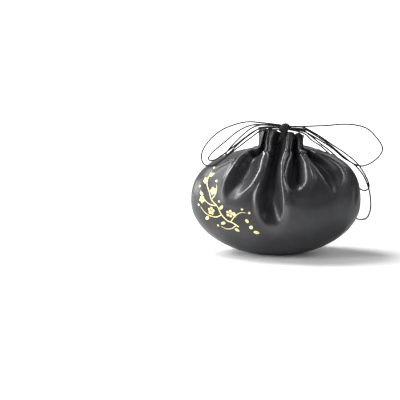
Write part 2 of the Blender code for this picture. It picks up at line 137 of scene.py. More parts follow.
# Drawcord and bow
CORD = 0.0010
CORD_DRESSED = 0.00145
CORD_CLEARANCE = 0.0003
PLY_RELIEF = 0.08
STRAND_PITCH = 0.0014
PUNCH_HEIGHT = 0.0050
LACING_INSET = 0.0045
LACING_START = math.radians(15)
LACING_END = math.radians(361)
LEAD_SHARES = (0.18, 0.55, 1.0)
LOOP_START = 0.3
KNOT_WIDTH = KNOT_HIGH.x - KNOT_LOW.x
KNOT_HEIGHT = KNOT_HIGH.z - KNOT_LOW.z
KNOT_MIDDLE = np.array((KNOT_LOW + KNOT_HIGH) / 2)
KNOT_TURNS = 15
KNOT_SWEEP = 0.96
KNOT_TAPER = 0.30

# Foil sprig and stitches. A profile gives places across a leaf or a branch, and their rises.
SPRIG_TILT = math.radians(11)
LAY_HEIGHT = 0.004
PETALS = 5
LEAF_PROFILE = ((-1, -0.5), (-0.82, 1.0), (-0.4, 1.0), (0.0, None), (0.4, 1.0), (0.82, 1.0), (1, -0.5))
BRANCH_PROFILE = ((-1, -0.5), (-0.75, 1.0), (0.0, 1.1), (0.75, 1.0), (1, -0.5))
SUNK = -0.5
SEAM_START = 0.12
SEAM_STOP = 3.8

# Fineness of the meshes
ROWS = (26, 18, 104, 80)
FRONT_COLUMNS = (20, 14, 34, 40, 24, 44, 20, 34, 28, 24, 38)
BACK_COLUMNS = (70, 26, 28, 34, 26, 30, 26, 30, 50)
CORD_SIDES = 12
CORD_STEP = 0.0004
KNOT_POINTS = 560
PUNCH_POINTS = 90
PUNCH_SIDES = 14
RING_POINTS = 26
ROUTE_STEPS = 24
CREASE_POINTS = 40
LEAF_ROWS = 12
BRANCH_STEP = 0.0005
SEAM_POINTS = 400

# Studio. The middle of the pouch's widest level lies at MIDDLE_PIXEL in the picture, and a pixel of it is PIXEL.
PICTURE = 400
MIDDLE_PIXEL = (275.5, 200.0)
PIXEL = 0.000941
SENSOR = 36.0
FLOOR_REACH = 6.0
WORLD_LIGHT = 0.155
SOFTBOXES = (  # name, place, what it is aimed at, width, height, power
    ("key_softbox", (-0.50, 0.22, 1.10), (0, 0, 0.05), 0.42, 0.42, 15.0),
    ("side_softbox", (-0.80, 0.12, 0.72), (0, 0, 0.08), 0.34, 0.34, 6.0),
    ("low_card", (-1.0, 0.30, 0.20), (0, 0, 0.07), 0.40, 0.30, 4.5),
    ("left_strip", (-0.74, -0.38, 0.42), (0, 0, 0.07), 0.20, 0.84, 6.5),
    ("right_strip", (0.70, -0.26, 0.62), (0, 0, 0.07), 0.12, 0.50, 1.6),
    ("back_card", (0.0, 1.10, 0.42), (0, 0, 0.09), 1.6, 0.6, 2.6),
)

Fold = namedtuple("Fold", "edges neck_depth body_depth foot lean")
Crease = namedtuple("Crease", "line width depth")
Branch = namedtuple("Branch", "line root tip")
Blossom = namedtuple("Blossom", "place radius turn")
Leaf = namedtuple("Leaf", "place length half_width turn")

FRONT_FOLDS = (
    Fold(
        edges=(
            (0.0, -0.92, -0.76), (0.9, -0.95, -0.88), (1.3, -0.97, -0.94),
        ),
        neck_depth=EDGE_PLEAT_DEPTH, body_depth=0.0, foot=0.30, lean=0.0,
    ),
    Fold(
        edges=(
            (0.0, -0.69, -0.54), (0.9, -0.84, -0.64), (2.0, -0.91, -0.56), (2.14, -0.79, -0.39),
            (2.3, -0.70, -0.31), (2.5, -0.63, -0.26), (2.7, -0.62, -0.29), (2.94, -0.63, -0.40),
        ),
        neck_depth=PLEAT_DEPTH, body_depth=0.0085, foot=0.34, lean=0.1,
    ),
    Fold(
        edges=(
            (0.0, -0.28, 0.25), (0.9, -0.44, 0.22), (2.0, -0.40, 0.11), (2.14, -0.26, 0.06), (2.35, -0.20, 0.03),
            (2.65, -0.19, 0.05), (2.87, -0.21, 0.09), (3.02, -0.20, 0.10), (3.20, -0.17, 0.10),
        ),
        neck_depth=PLEAT_DEPTH, body_depth=0.0100, foot=0.28, lean=0.0,
    ),
    Fold(
        edges=(
            (0.0, 0.54, 0.70), (0.9, 0.46, 0.77), (2.0, 0.33, 0.67), (2.14, 0.24, 0.47), (2.37, 0.15, 0.43),
            (2.63, 0.12, 0.41), (2.83, 0.14, 0.38),
        ),
        neck_depth=PLEAT_DEPTH, body_depth=0.0100, foot=0.26, lean=-0.40,
    ),
    Fold(
        edges=(
            (0.0, 0.83, 0.93), (0.9, 0.86, 0.95), (2.0, 0.78, 0.93), (2.14, 0.57, 0.87), (2.3, 0.52, 0.88),
            (2.5, 0.55, 0.90), (2.65, 0.58, 0.88), (2.86, 0.63, 0.80),
        ),
        neck_depth=EDGE_PLEAT_DEPTH, body_depth=0.0085, foot=0.44, lean=-0.55,
    ),
)
BACK_FOLDS = (
    Fold(
        edges=(
            (0.0, -0.80, -0.62), (0.9, -0.82, -0.62), (2.0, -0.84, -0.52), (2.15, -0.59, -0.33),
            (2.4, -0.52, -0.26), (2.81, -0.44, -0.31),
        ),
        neck_depth=0.0060, body_depth=0.0070, foot=0.30, lean=0.2,
    ),
    Fold(
        edges=(
            (0.0, -0.42, -0.18), (2.0, -0.37, -0.09), (2.15, -0.23, -0.01), (2.47, -0.16, 0.07),
            (2.79, -0.13, 0.10), (2.97, -0.10, 0.09),
        ),
        neck_depth=PLEAT_DEPTH, body_depth=0.0090, foot=0.32, lean=0.0,
    ),
    Fold(
        edges=(
            (0.0, 0.03, 0.23), (2.0, 0.09, 0.34), (2.15, 0.10, 0.30), (2.4, 0.14, 0.34), (2.69, 0.19, 0.38),
            (2.88, 0.24, 0.36),
        ),
        neck_depth=PLEAT_DEPTH, body_depth=0.0075, foot=0.28, lean=-0.2,
    ),
    Fold(
        edges=(
            (0.0, 0.48, 0.68), (1.0, 0.54, 0.78), (2.1, 0.46, 0.80), (2.4, 0.48, 0.74), (2.63, 0.53, 0.70),
        ),
        neck_depth=0.0060, body_depth=0.0060, foot=0.28, lean=0.3,
    ),
)

# Smaller creases as (level, share) points, half width and depth in metres. A negative depth is a ridge.
FRONT_CREASES = (
    Crease(((1.0, 0.40), (2.0, 0.27), (2.3, 0.12), (2.55, 0.085), (2.75, 0.10)), 0.0009, 0.0010),
    Crease(((0.6, -0.34), (1.3, -0.30), (1.9, -0.16), (2.05, -0.07)), 0.0008, 0.0007),
    Crease(((1.2, -0.02), (1.7, 0.02), (2.05, -0.04), (2.25, -0.10)), 0.0009, 0.0007),
    Crease(((2.02, 0.74), (2.12, 0.50), (2.25, 0.45), (2.45, 0.46)), 0.0011, 0.0008),
    Crease(((2.30, -0.80), (2.38, -0.66), (2.52, -0.52)), 0.0022, 0.0005),
    Crease(((2.06, -0.90), (2.16, -0.72), (2.34, -0.60), (2.56, -0.56)), 0.0014, 0.0006),
    Crease(((2.62, 0.92), (2.80, 0.93), (3.05, 0.91)), 0.0026, 0.0007),
)
BACK_CREASES = (
    Crease(((1.0, -0.52), (2.0, -0.44), (2.3, -0.24), (2.5, -0.20)), 0.0010, 0.0009),
    Crease(((1.0, 0.38), (2.0, 0.40), (2.25, 0.40), (2.5, 0.44)), 0.0010, 0.0008),
    Crease(((2.05, 0.88), (2.2, 0.74), (2.45, 0.70), (2.6, 0.72)), 0.0014, 0.0008),
    Crease(((2.05, -0.92), (2.2, -0.78), (2.45, -0.66), (2.62, -0.62)), 0.0015, 0.0008),
    Crease(((3.05, -0.12), (3.09, 0.02), (3.05, 0.12)), 0.0026, 0.0006),
    Crease(((2.86, -0.50), (2.91, -0.38), (2.87, -0.27)), 0.0022, 0.0005),
    Crease(((2.95, 0.22), (2.99, 0.31), (2.95, 0.40)), 0.0022, 0.0005),
)

# The plum sprig pressed in foil, in millimetres across and up from the middle of the front as it is seen.
# Widths and lengths are in metres, turns in degrees from rightwards.
BRANCHES = (
    Branch(
        line=(
            (-33.4, -24.5), (-39.1, -20.7), (-44.7, -18.3), (-49.9, -12.7), (-53.6, -5.6), (-58.8, 0.0),
            (-61.2, 7.5), (-63.5, 15.1), (-62.1, 21.6), (-58.8, 27.3),
        ),
        root=0.00150, tip=0.00070,
    ),
    Branch(
        line=(
            (-49.4, -13.2), (-54.1, -15.5), (-59.8, -14.6), (-64.9, -11.8), (-69.6, -6.1),
        ),
        root=0.00105, tip=0.00060,
    ),
    Branch(
        line=(
            (-54.1, -5.2), (-59.8, -4.2), (-64.5, -0.9), (-68.2, 4.2), (-69.6, 9.4),
        ),
        root=0.00105, tip=0.00055,
    ),
    Branch(
        line=(
            (-40.9, -19.8), (-37.2, -14.6), (-32.0, -11.3), (-26.8, -11.3),
        ),
        root=0.00100, tip=0.00060,
    ),
    Branch(
        line=(
            (-58.8, 0.9), (-55.5, 5.2), (-54.1, 10.4), (-54.6, 14.6),
        ),
        root=0.00095, tip=0.00055,
    ),
    Branch(
        line=(
            (-36.2, -23.1), (-40.0, -25.9), (-45.2, -26.3), (-49.9, -24.0),
        ),
        root=0.00095, tip=0.00050,
    ),
)
BLOSSOMS = (
    Blossom((-59.3, -9.9), 0.0037, 12),
    Blossom((-68.2, 0.5), 0.0034, -20),
    Blossom((-57.4, 8.4), 0.0036, 30),
    Blossom((-41.9, -12.2), 0.0036, 5),
    Blossom((-64.9, 18.3), 0.0030, -35),
)
BUDS = (
    Leaf((-70.6, -4.2), 0.0026, 0.0013, 200),
    Leaf((-70.3, 11.8), 0.0025, 0.0012, 110),
    Leaf((-57.8, 28.9), 0.0028, 0.0013, 70),
    Leaf((-54.5, 16.4), 0.0026, 0.0013, 95),
    Leaf((-25.2, -11.3), 0.0026, 0.0013, 0),
    Leaf((-31.1, -9.2), 0.0024, 0.0012, 60),
    Leaf((-51.9, -24.2), 0.0025, 0.0012, 150),
    Leaf((-52.7, -1.9), 0.0022, 0.0011, 40),
)
LEAVES = (
    Leaf((-61.5, -15.5), 0.0058, 0.0017, 225),
    Leaf((-46.0, -20.2), 0.0058, 0.0016, 215),
    Leaf((-66.9, 4.6), 0.0052, 0.0015, 150),
    Leaf((-61.2, 22.1), 0.0058, 0.0016, 20),
    Leaf((-36.7, -15.5), 0.0056, 0.0016, 110),
    Leaf((-51.3, -8.5), 0.0054, 0.0015, 50),
    Leaf((-37.3, -26.0), 0.0054, 0.0016, -25),
    Leaf((-22.9, -26.4), 0.0044, 0.0019, 70),
    Leaf((-20.0, -28.6), 0.0058, 0.0017, -10),
    Leaf((-27.4, -17.2), 0.0046, 0.0015, -50),
)

# Routes of the bow's loops, in millimetres from the knot's middle, as the frame's cords lie.
LOOP_ROUTES = {
    "loop_left_outer": (
        (-20.0, 1.0, 4.5), (-34.5, 3.0, 5.0), (-47.5, 6.0, 1.5), (-59.5, 9.0, -4.5), (-69.5, 10.0, -13.5),
        (-75.5, 8.0, -22.5), (-76.5, 4.0, -29.5), (-74.0, 1.0, -34.5), (-68.0, -0.5, -36.0), (-61.5, -1.0, -33.0),
        (-52.0, -1.5, -25.5), (-41.0, -1.0, -17.0), (-31.5, -1.5, -9.5), (-20.0, -2.0, -2.0),
    ),
    "loop_left_inner": (
        (-20.0, 0.0, 3.0), (-31.5, 1.0, 2.0), (-43.0, 4.0, -4.0), (-54.0, 7.0, -13.5), (-65.5, 8.0, -23.5),
        (-70.0, 6.0, -29.0), (-68.5, 4.0, -31.5), (-64.0, 3.0, -30.5), (-58.0, 2.0, -26.5), (-49.5, 1.0, -20.0),
        (-38.0, 0.5, -10.5), (-28.5, 0.0, -3.5), (-20.0, -0.5, 0.0),
    ),
    "loop_left_tail": (
        (-20.0, -2.5, 3.0), (-29.5, -3.0, 0.5), (-38.0, -3.5, -6.0), (-46.5, -4.0, -14.5), (-52.5, -5.0, -21.5),
        (-53.5, -5.0, -24.5), (-50.0, -4.5, -22.5), (-42.0, -3.5, -14.5), (-32.5, -3.5, -6.5), (-20.0, -3.5, 1.0),
    ),
    "loop_right_big": (
        (15.5, 0.0, 1.5), (28.0, 0.5, 2.0), (40.0, 1.5, 2.5), (53.0, 3.0, 3.5), (65.5, 5.0, 2.5),
        (76.0, 7.0, -1.0), (84.5, 8.5, -9.0), (90.5, 9.5, -18.5), (88.5, 9.5, -26.0), (81.5, 9.0, -32.5),
        (73.0, 8.0, -36.0), (64.5, 7.0, -34.0), (55.0, 5.5, -27.0), (44.0, 4.0, -17.5), (29.5, 2.0, -7.5),
        (17.5, 0.5, -1.0),
    ),
    "loop_right_long": (
        (16.5, 2.5, -3.0), (29.5, 5.0, -10.0), (44.0, 8.0, -19.5), (55.0, 11.0, -29.0), (65.5, 14.0, -36.0),
        (74.0, 16.0, -46.5), (79.5, 17.0, -59.5), (81.5, 18.0, -71.5), (81.0, 19.0, -81.5), (77.5, 22.0, -88.5),
        (70.0, 29.0, -90.5), (63.5, 36.0, -86.5), (59.5, 43.0, -75.0), (56.0, 44.0, -56.0), (48.5, 38.5, -36.5),
        (35.8, 24.3, -21.6), (25.5, 12.2, -13.0), (17.5, 5.5, -5.5),
    ),
    "loop_right_tail": (
        (16.5, 3.0, 0.5), (29.5, 7.0, -6.5), (44.0, 11.0, -16.5), (55.5, 14.0, -24.5), (67.0, 17.0, -34.0),
        (74.0, 19.5, -43.5), (79.0, 20.5, -53.5), (79.5, 22.0, -59.5), (75.5, 26.0, -62.5), (70.0, 32.0, -60.0),
        (63.5, 36.0, -50.0), (56.0, 34.0, -38.5), (44.0, 26.0, -26.0), (32.5, 17.0, -16.0), (23.0, 9.0, -7.5),
        (16.5, 5.0, -2.5),
    ),
}
LOOP_ENDS = {
    "loop_left_outer": ((0, 2), (-1, -1)),
    "loop_left_inner": ((1, 1), (0, 0)),
    "loop_left_tail": ((-1, 1), (-1, 0)),
    "loop_right_big": ((-1, 1), (-1, 0)),
    "loop_right_long": ((0, -1), (1, -1)),
    "loop_right_tail": ((1, 1), (1, 0)),
}


def length(name, description, default):
    return FloatProperty(name=name, description=description, subtype="DISTANCE", unit="LENGTH", default=default)


def colour(name, description, default):
    return FloatVectorProperty(name=name, description=description, subtype="COLOR", size=4, default=default)


class PouchSettings(PropertyGroup):
    leather_colour: colour("Leather colour", "Colour of the leather's grain side", (0.022, 0.022, 0.025, 1.0))
    leather_roughness: FloatProperty(
        name="Leather roughness", description="How matt the finished leather is", subtype="FACTOR", default=0.32
    )
    grain_size: length("Grain size", "Width of one pebble of the leather's grain", 0.0007)
    unevenness: length("Unevenness", "How far the soft leather wanders from its smooth form", 0.00035)
    seam_groove: length("Seam groove", "How deep the leather dips where the two panels are sewn together", 0.0010)
    cord_colour: colour("Cord colour", "Colour of the waxed cord", (0.010, 0.010, 0.011, 1.0))
    cord_plies: IntProperty(name="Cord plies", description="Number of strands twisted into the cord", default=3)
    cord_lay: length("Cord lay", "Length of cord in which a strand goes once round", 0.0052)
    foil_colour: colour("Foil colour", "Colour of the pressed foil", (0.80, 0.70, 0.33, 1.0))
    foil_rise: length("Foil rise", "How far the foil stands on the leather", 0.00012)
    stitch_pitch: length("Stitch pitch", "Distance between the seam's stitches", 0.0026)
    stitch_reach: length("Stitch reach", "How far a stitch reaches across the seam", 0.0016)
    thread: length("Thread", "Thickness of the sewing thread", 0.00045)
    floor_colour: colour("Floor colour", "Colour of the studio floor", (0.84, 0.845, 0.84, 1.0))
    camera_distance: length("Camera distance", "From the pouch's middle to the camera", 1.35)
    camera_elevation: FloatProperty(
        name="Camera elevation",
        description="Height of the view above level",
        subtype="ANGLE",
        unit="ROTATION",
        default=math.radians(11),
    )


def settings():
    return bpy.context.scene.kinchaku


def smooth(x):
    x = np.clip(x, 0.0, 1.0)
    return x * x * (3 - 2 * x)


def unit(v):
    return v / np.maximum(np.linalg.norm(v, axis=-1, keepdims=True), TINY)


def track(x, xs, ys):
    """Smooth curve through the points (xs, ys) that never swings past them, read at x."""
    xs, ys = np.array(xs), np.array(ys)
    secants = np.diff(ys) / np.diff(xs)
    before, after = secants[:-1], secants[1:]
    alike = before * after > 0
    slopes = np.zeros_like(ys)
    slopes[1:-1][alike] = 2 * (before * after)[alike] / (before + after)[alike]
    i = np.clip(np.searchsorted(xs, x) - 1, 0, len(xs) - 2)
    span = xs[i + 1] - xs[i]
    t = np.clip((x - xs[i]) / span, 0.0, 1.0)
    start, end = (1 + 2 * t) * (1 - t) ** 2, t * t * (3 - 2 * t)
    leave, arrive = t * (1 - t) ** 2, t * t * (t - 1)
    return start * ys[i] + end * ys[i + 1] + span * (leave * slopes[i] + arrive * slopes[i + 1])


def level_form(q):
    """Half width, half depth, height and sideways shift of the plain body at levels q."""
    q = np.asarray(q, float)
    power = 2 / TOP_CURVE
    f = np.clip(q - 1, 0.0, 1.0)
    upper = TOP_ANGLE * np.clip(3 - q, 0.0, 1.0)
    lower = math.pi / 2 * np.clip(q - 3, 0.0, 1.0)
    rise, top_rise = np.sin(upper) ** power, math.sin(TOP_ANGLE) ** power
    upper_share, top_share = np.cos(upper) ** power, math.cos(TOP_ANGLE) ** power
    lower_share = np.clip(np.cos(lower), 0.0, 1.0)
    top = WIDEST_HEIGHT + SHOULDER_RISE
    mouth, neck_foot = top + NECK_LENGTH, top + NECK_FILLET
    shoulder = WIDEST_HEIGHT + SHOULDER_RISE * top_rise

    neck_width = NECK_HALF_WIDTH + f * f * (BODY_HALF_WIDTH * top_share - NECK_HALF_WIDTH)
    body_width = BODY_HALF_WIDTH * np.where(q <= 3, upper_share, lower_share)
    width = np.where(q <= 2, neck_width, body_width)

    def tent(share):
        swell = BODY_HALF_DEPTH - NECK_HALF_DEPTH - TENT_START
        return TENT_START + swell * (1 - share**TENT_CURVE) ** (1 / TENT_TOP)

    steep = TENT_CURVE / TENT_TOP * top_rise ** (TENT_CURVE - 1) / (1 - top_rise**TENT_CURVE)
    arrive = (top - shoulder) * (tent(top_rise) - TENT_START) * steep / SHOULDER_RISE
    leave = FLARE_CURVE * NECK_FLARE * (2 * neck_foot - shoulder - top) / (mouth - neck_foot)
    hollow = (tent(top_rise) - NECK_FLARE) * smooth(f) + leave * f * (1 - f) ** 2 + arrive * f * f * (f - 1)
    flare = NECK_FLARE * np.clip(q, 0.0, 1.0) ** FLARE_CURVE
    upper_depth = NECK_HALF_DEPTH + np.where(q <= 2, flare + hollow, tent(rise))
    depth = np.where(q <= 3, upper_depth, BODY_HALF_DEPTH * lower_share ** (2 / BASE_CURVE))

    neck = mouth + (neck_foot - mouth) * np.clip(q, 0.0, 1.0)
    fillet = (1 - f) ** 2 * neck_foot + f * (1 - f) * (shoulder + top) + f * f * shoulder
    rounded = WIDEST_HEIGHT + SHOULDER_RISE * rise
    bottom = np.maximum(0.0, WIDEST_HEIGHT - (WIDEST_HEIGHT + BASE_PRESS) * np.sin(lower))
    height = np.where(q <= 1, neck, np.where(q <= 2, fillet, np.where(q <= 3, rounded, bottom)))
    height = height + SHOULDER_LIFT * smooth(q - 1) * smooth((2 + SHOULDER_LEVELS - q) / SHOULDER_LEVELS)
    return width, depth, height, NECK_SHIFT * smooth(3 - q)


def plain_body(q, angle, side):
    """Points of the body without its folds. The angle runs from 0 at the left seam to pi at the right one."""
    width, depth, height, shift = level_form(q)
    across = -width * np.cos(angle)
    out = depth * np.clip(np.sin(angle), 0.0, 1.0) ** SEAM_CURVE
    tilt = MOUTH_SLOPE * across + (BACK_DROP * out / NECK_HALF_DEPTH if side > 0 else 0.0)
    return np.stack([shift + across, side * (PANEL_GAP / 2 + out), height - tilt * smooth(1 - q)], axis=-1)


def body_normal(q, angle, side):
    """Outward normals of the plain body, and how far a point moves for each radian of its angle."""
    step = 0.01
    angle = np.clip(angle, 2 * step, math.pi - 2 * step)
    q = np.clip(q, step, 4 - 2 * step)
    across = (plain_body(q, angle + step, side) - plain_body(q, angle - step, side)) / (2 * step)
    down = plain_body(q + step, angle, side) - plain_body(q - step, angle, side)
    return -side * unit(np.cross(down, across)), np.linalg.norm(across, axis=-1)


def angle_of(share):
    return np.arccos(-np.clip(share, -0.99, 0.99))


def fold_edges(fold, q):
    """Angles of a fold's left and right edge at levels q."""
    levels, left, right = zip(*fold.edges, strict=True)
    return [angle_of(track(q, levels, edge)) for edge in (left, right)]


def fold_reach(fold, q, angle, wider, longer):
    """How far from a fold's floor a place is, as a share of the way to its edge."""
    left, right = fold_edges(fold, q)
    s = (angle - (left + right) / 2) / np.maximum((right - left) / 2 + wider, TINY)
    s = np.where(np.abs(s) < 1, s - fold.lean * (1 - s * s), s)
    t = np.maximum((q - fold.edges[-1][0] - longer) / fold.foot + 1, 0.0)
    return (np.abs(s) ** REACH_CURVE + t**REACH_CURVE) ** (1 / REACH_CURVE)


def fold_press(folds, q, angle, speed, inset):
    """How far the folds press a panel's face in, less the roll of leather round their edges."""
    depth, rim = np.zeros(np.shape(angle)), np.zeros(np.shape(angle))
    for fold in folds:
        reach = fold_reach(fold, q, angle, inset / np.maximum(speed, TINY), inset / WIDEST_HEIGHT)
        length = fold.neck_depth + (fold.body_depth - fold.neck_depth) * smooth(q - 1)
        depth = np.maximum(depth, length * np.clip(1 - reach**FOLD_FLOOR, 0.0, 1.0) ** FOLD_EDGE)
        if fold.body_depth > 0:
            left, right = fold_edges(fold, q)
            rightness = smooth((angle - left) / np.maximum(right - left, TINY))
            width = RIM_WIDTH * (RIM_WIDTHS[0] + RIM_WIDTHS[1] * rightness)
            off = (fold_reach(fold, q, angle, 0.0, 0.0) - RIM_PLACE) / width
            foot = 1 - RIM_FOOT_LOSS * smooth((q - fold.edges[-1][0]) / fold.foot + 1)
            height = RIM_HEIGHTS[0] + RIM_HEIGHTS[1] * rightness
            roll = FOLD_RIM * foot * height * smooth((q - RIM_START) / RIM_LEVELS)
            rim = np.maximum(rim, roll * np.exp(-off * off))
    return depth, rim


def leather(q, angle, side, folds, inset):
    """Points of a panel's face: its outer one at inset 0, its inner one at the thickness of the leather."""
    place = plain_body(q, angle, side)
    normal, speed = body_normal(q, angle, side)
    press = body_normal(q, np.full(np.shape(angle), math.pi / 2), side)[0]
    depth, rim = fold_press(folds, q, angle, speed, inset)
    room = np.maximum(np.abs(place[..., 1]) - PANEL_GAP / 2 - LEATHER - SEAM_CLEARANCE, 0.0)
    facing = np.maximum(np.sum(normal * press, axis=-1), LEAST_FACING)
    depth = np.minimum(depth, room / np.maximum(np.abs(press[..., 1]), LEAST_FACING))
    away = smooth(room / FOLD_ROOM)
    sunk = inset * away / facing + depth - rim * smooth(room / RIM_ROOM)
    ridge = 1 - np.clip(depth / PLEAT_DEPTH, 0.0, 1.0)
    place[..., 2] += MOUTH_WAVE * ridge * smooth(room / RIM_ROOM) * smooth(1 - q)
    return place - normal * (inset * (1 - away))[..., None] - press * sunk[..., None]


def smooth_route(points, step):
    """Points a step apart on a smooth curve through a route's own points."""
    p = np.array(points, float)
    p = np.vstack([2 * p[0] - p[1], p, 2 * p[-1] - p[-2]])
    fine = []
    for a, b, c, d in zip(p, p[1:], p[2:], p[3:]):
        t = np.linspace(0, 1, ROUTE_STEPS, endpoint=False)[:, None]
        bend, twist = 2 * a - 5 * b + 4 * c - d, 3 * b - a - 3 * c + d
        fine.append(b + 0.5 * ((c - a) * t + bend * t**2 + twist * t**3))
    fine = np.vstack(fine + [p[-2:-1]])
    along = np.concatenate([[0], np.cumsum(np.linalg.norm(np.diff(fine, axis=0), axis=1))])
    at = np.linspace(0, along[-1], max(2, round(along[-1] / step)))
    return np.stack([np.interp(at, along, fine[:, k]) for k in range(3)], axis=1)


def crease_depth(creases, place, q, side):
    """How deep the small creases press in at the plain body's points."""
    depth = np.zeros(q.shape)
    for crease in creases:
        levels, shares = np.array(crease.line).T
        at = np.linspace(levels[0], levels[-1], CREASE_POINTS) if levels[-1] > levels[0] else levels
        if np.all(np.diff(levels) > 0):
            line = plain_body(at, angle_of(track(at, levels, shares)), side)
        else:
            at = np.linspace(shares[0], shares[-1], CREASE_POINTS)
            line = plain_body(track(at, shares, levels), angle_of(at), side)
        low, high = line.min(axis=0) - 4 * crease.width, line.max(axis=0) + 4 * crease.width
        near = np.all((place > low) & (place < high), axis=-1)
        points = place[near]
        if not len(points):
            continue
        apart = np.linalg.norm(points[:, None] - line[None], axis=-1)
        nearest = apart.argmin(axis=1)
        d = apart[np.arange(len(points)), nearest] / crease.width
        run = nearest / (len(line) - 1)
        fade = smooth(run / CREASE_FADE) * smooth((1 - run) / CREASE_FADE)
        depth[near] += crease.depth * fade * (np.exp(-d * d) - LIP_SHARE * np.exp(-((d - LIP_PLACE) ** 2)))
    return depth


def unevenness(place, seed):
    """Slow seeded wander of the soft leather, from -1 to 1."""
    flat = place.reshape(-1, 3)
    shift = Vector((seed * 1.7, seed * 2.3, seed * 3.1))
    slow = [noise.noise(Vector(p) * 42 + shift) + 0.5 * noise.noise(Vector(p) * 110 - shift) for p in flat]
    return np.array(slow).reshape(place.shape[:-1])


def row_levels():
    levels = [number + step / rows for number, rows in enumerate(ROWS) for step in range(rows)]
    return np.array(levels + [4.0])


def column_angles(q, folds, counts):
    """Angles of a panel's columns at each level: they follow the folds' edges from the mouth to the base."""
    edges = [np.zeros_like(q)]
    for fold in folds:
        edges += fold_edges(fold, q)
    edges.append(np.full_like(q, math.pi))
    columns = []
    for start, end, count in zip(edges[:-1], edges[1:], counts, strict=True):
        columns += [start + (end - start) * step / count for step in range(count)]
    return np.stack(columns + [edges[-1]], axis=1)


def inner_angles(angles, q, first, last, lowest):
    """The same columns for the inner face, which starts beside the turned-in allowance."""
    beside = LEATHER + SEAM_CLEARANCE
    share = beside / np.maximum(level_form(q)[1], beside)
    start = np.minimum(np.arcsin(share ** (1 / SEAM_CURVE)), INNER_START)[:, None]
    head, foot = angles[:, [first]], angles[:, [last]]
    inner = np.where(angles < head, start + angles * (head - start) / head, angles)
    tail = math.pi - start
    inner = np.where(angles > foot, foot + (angles - foot) * (tail - foot) / (math.pi - foot), inner)
    return np.where(q[:, None] > lowest, start + angles * (tail - start) / math.pi, inner)


def panel_grids(side, folds, creases, counts):
    """Outer grid and half as fine inner grid of a panel, with the turned-in allowances as edge columns."""
    q = row_levels()
    angles = column_angles(q, folds, counts)
    rows = q[:, None] + np.zeros_like(angles)
    place = plain_body(rows, angles, side)
    normal = body_normal(rows, angles, side)[0]
    outer = leather(rows, angles, side, folds, 0.0)
    seam_side = np.abs(place[..., 1]) - PANEL_GAP / 2
    groove = settings().seam_groove * np.exp(-((seam_side / GROOVE_WIDTH) ** 2)) * smooth(rows / 0.8)
    calm = smooth(seam_side / SEAM_CALM) * smooth((4.0 - rows) / 0.5) * smooth(place[..., 2] / FLOOR_CALM)
    wander = settings().unevenness * unevenness(place, 3 + side) * calm * smooth((rows - 0.4) / 0.8)
    press = crease_depth(creases, place, rows, side) * calm + groove - wander
    outer = outer - normal * press[..., None]
    outer[..., 2] = np.maximum(outer[..., 2], 0.0)
    ridge = fold_press(folds, rows, angles, np.ones_like(rows), 0.0)[1] / FOLD_RIM * smooth(seam_side / RIM_ROOM)

    half_q = q[::2]
    lowest = max(fold.edges[-1][0] for fold in folds)
    half_angles = inner_angles(angles, q, counts[0], -1 - counts[-1], lowest)[::2, ::2]
    half_rows = half_q[:, None] + np.zeros_like(half_angles)
    inner = leather(half_rows, half_angles, side, folds, LEATHER)
    near, far = side * PANEL_GAP / 2, side * (PANEL_GAP / 2 + LEATHER)
    inner[-1] = (0.0, far, LEATHER)
    inner[:, [0, -1], 1] = far
    widen = smooth((q - 1) / ALLOWANCE_LEVELS)
    allowance = (NECK_ALLOWANCE + (SEAM_ALLOWANCE - NECK_ALLOWANCE) * widen)[:, None]
    turned = []
    for column in (0, -1):
        inward = -body_normal(q, angles[:, column], side)[0]
        inward[-1] = (0.0, 0.0, 1.0)
        inward[:, 1] = 0.0
        edge = plain_body(q, angles[:, column], side) + unit(inward) * allowance
        turned.append(edge)
    left, right = [np.stack([e[:, 0], np.full(len(q), near), e[:, 2]], axis=1)[:, None] for e in turned]
    outer = np.concatenate([left, outer, right], axis=1)
    ridge = np.pad(ridge, ((0, 0), (1, 1)))
    left, right = [np.stack([e[::2, 0], np.full(len(half_q), far), e[::2, 2]], axis=1)[:, None] for e in turned]
    inner = np.concatenate([left, inner, right], axis=1)
    return outer, inner, ridge


def grid_faces(ids):
    """Quads of a grid of vertex numbers, with the triangles that remain where corners coincide."""
    faces = []
    for upper, lower in zip(ids, ids[1:]):
        for j in range(len(upper) - 1):
            corners = list(dict.fromkeys((upper[j], upper[j + 1], lower[j + 1], lower[j])))
            if len(corners) > 2:
                faces.append(corners)
    return faces


def rim_faces(fine, coarse):
    """Faces between an edge and another that has a point for every second one of its own."""
    faces = []
    for k in range(len(coarse) - 1):
        a, b, c = fine[2 * k], fine[2 * k + 1], fine[2 * k + 2]
        faces += [(a, b, coarse[k]), (b, coarse[k + 1], coarse[k]), (b, c, coarse[k + 1])]
    return [f for f in faces if len(set(f)) == 3]


def grid_ids(points, first):
    """Vertex numbers of a grid whose last row is one point between the two turned-in ends."""
    rows, columns = points.shape[:2]
    ids = [[first + i * columns + j for j in range(columns)] for i in range(rows - 1)]
    pole = first + (rows - 1) * columns
    ids.append([pole + 1] + [pole] * (columns - 2) + [pole + 1])
    flat = np.concatenate([points[:-1].reshape(-1, 3), points[-1, [1, 0]]])
    return ids, flat


def mark(mesh, label, domain, values):
    mesh.attributes.new(label, "FLOAT", domain).data.foreach_set("value", values)


def face_outwards(mesh):
    bm = bmesh.new()
    bm.from_mesh(mesh)
    bmesh.ops.recalc_face_normals(bm, faces=bm.faces)
    bm.to_mesh(mesh)
    bm.free()


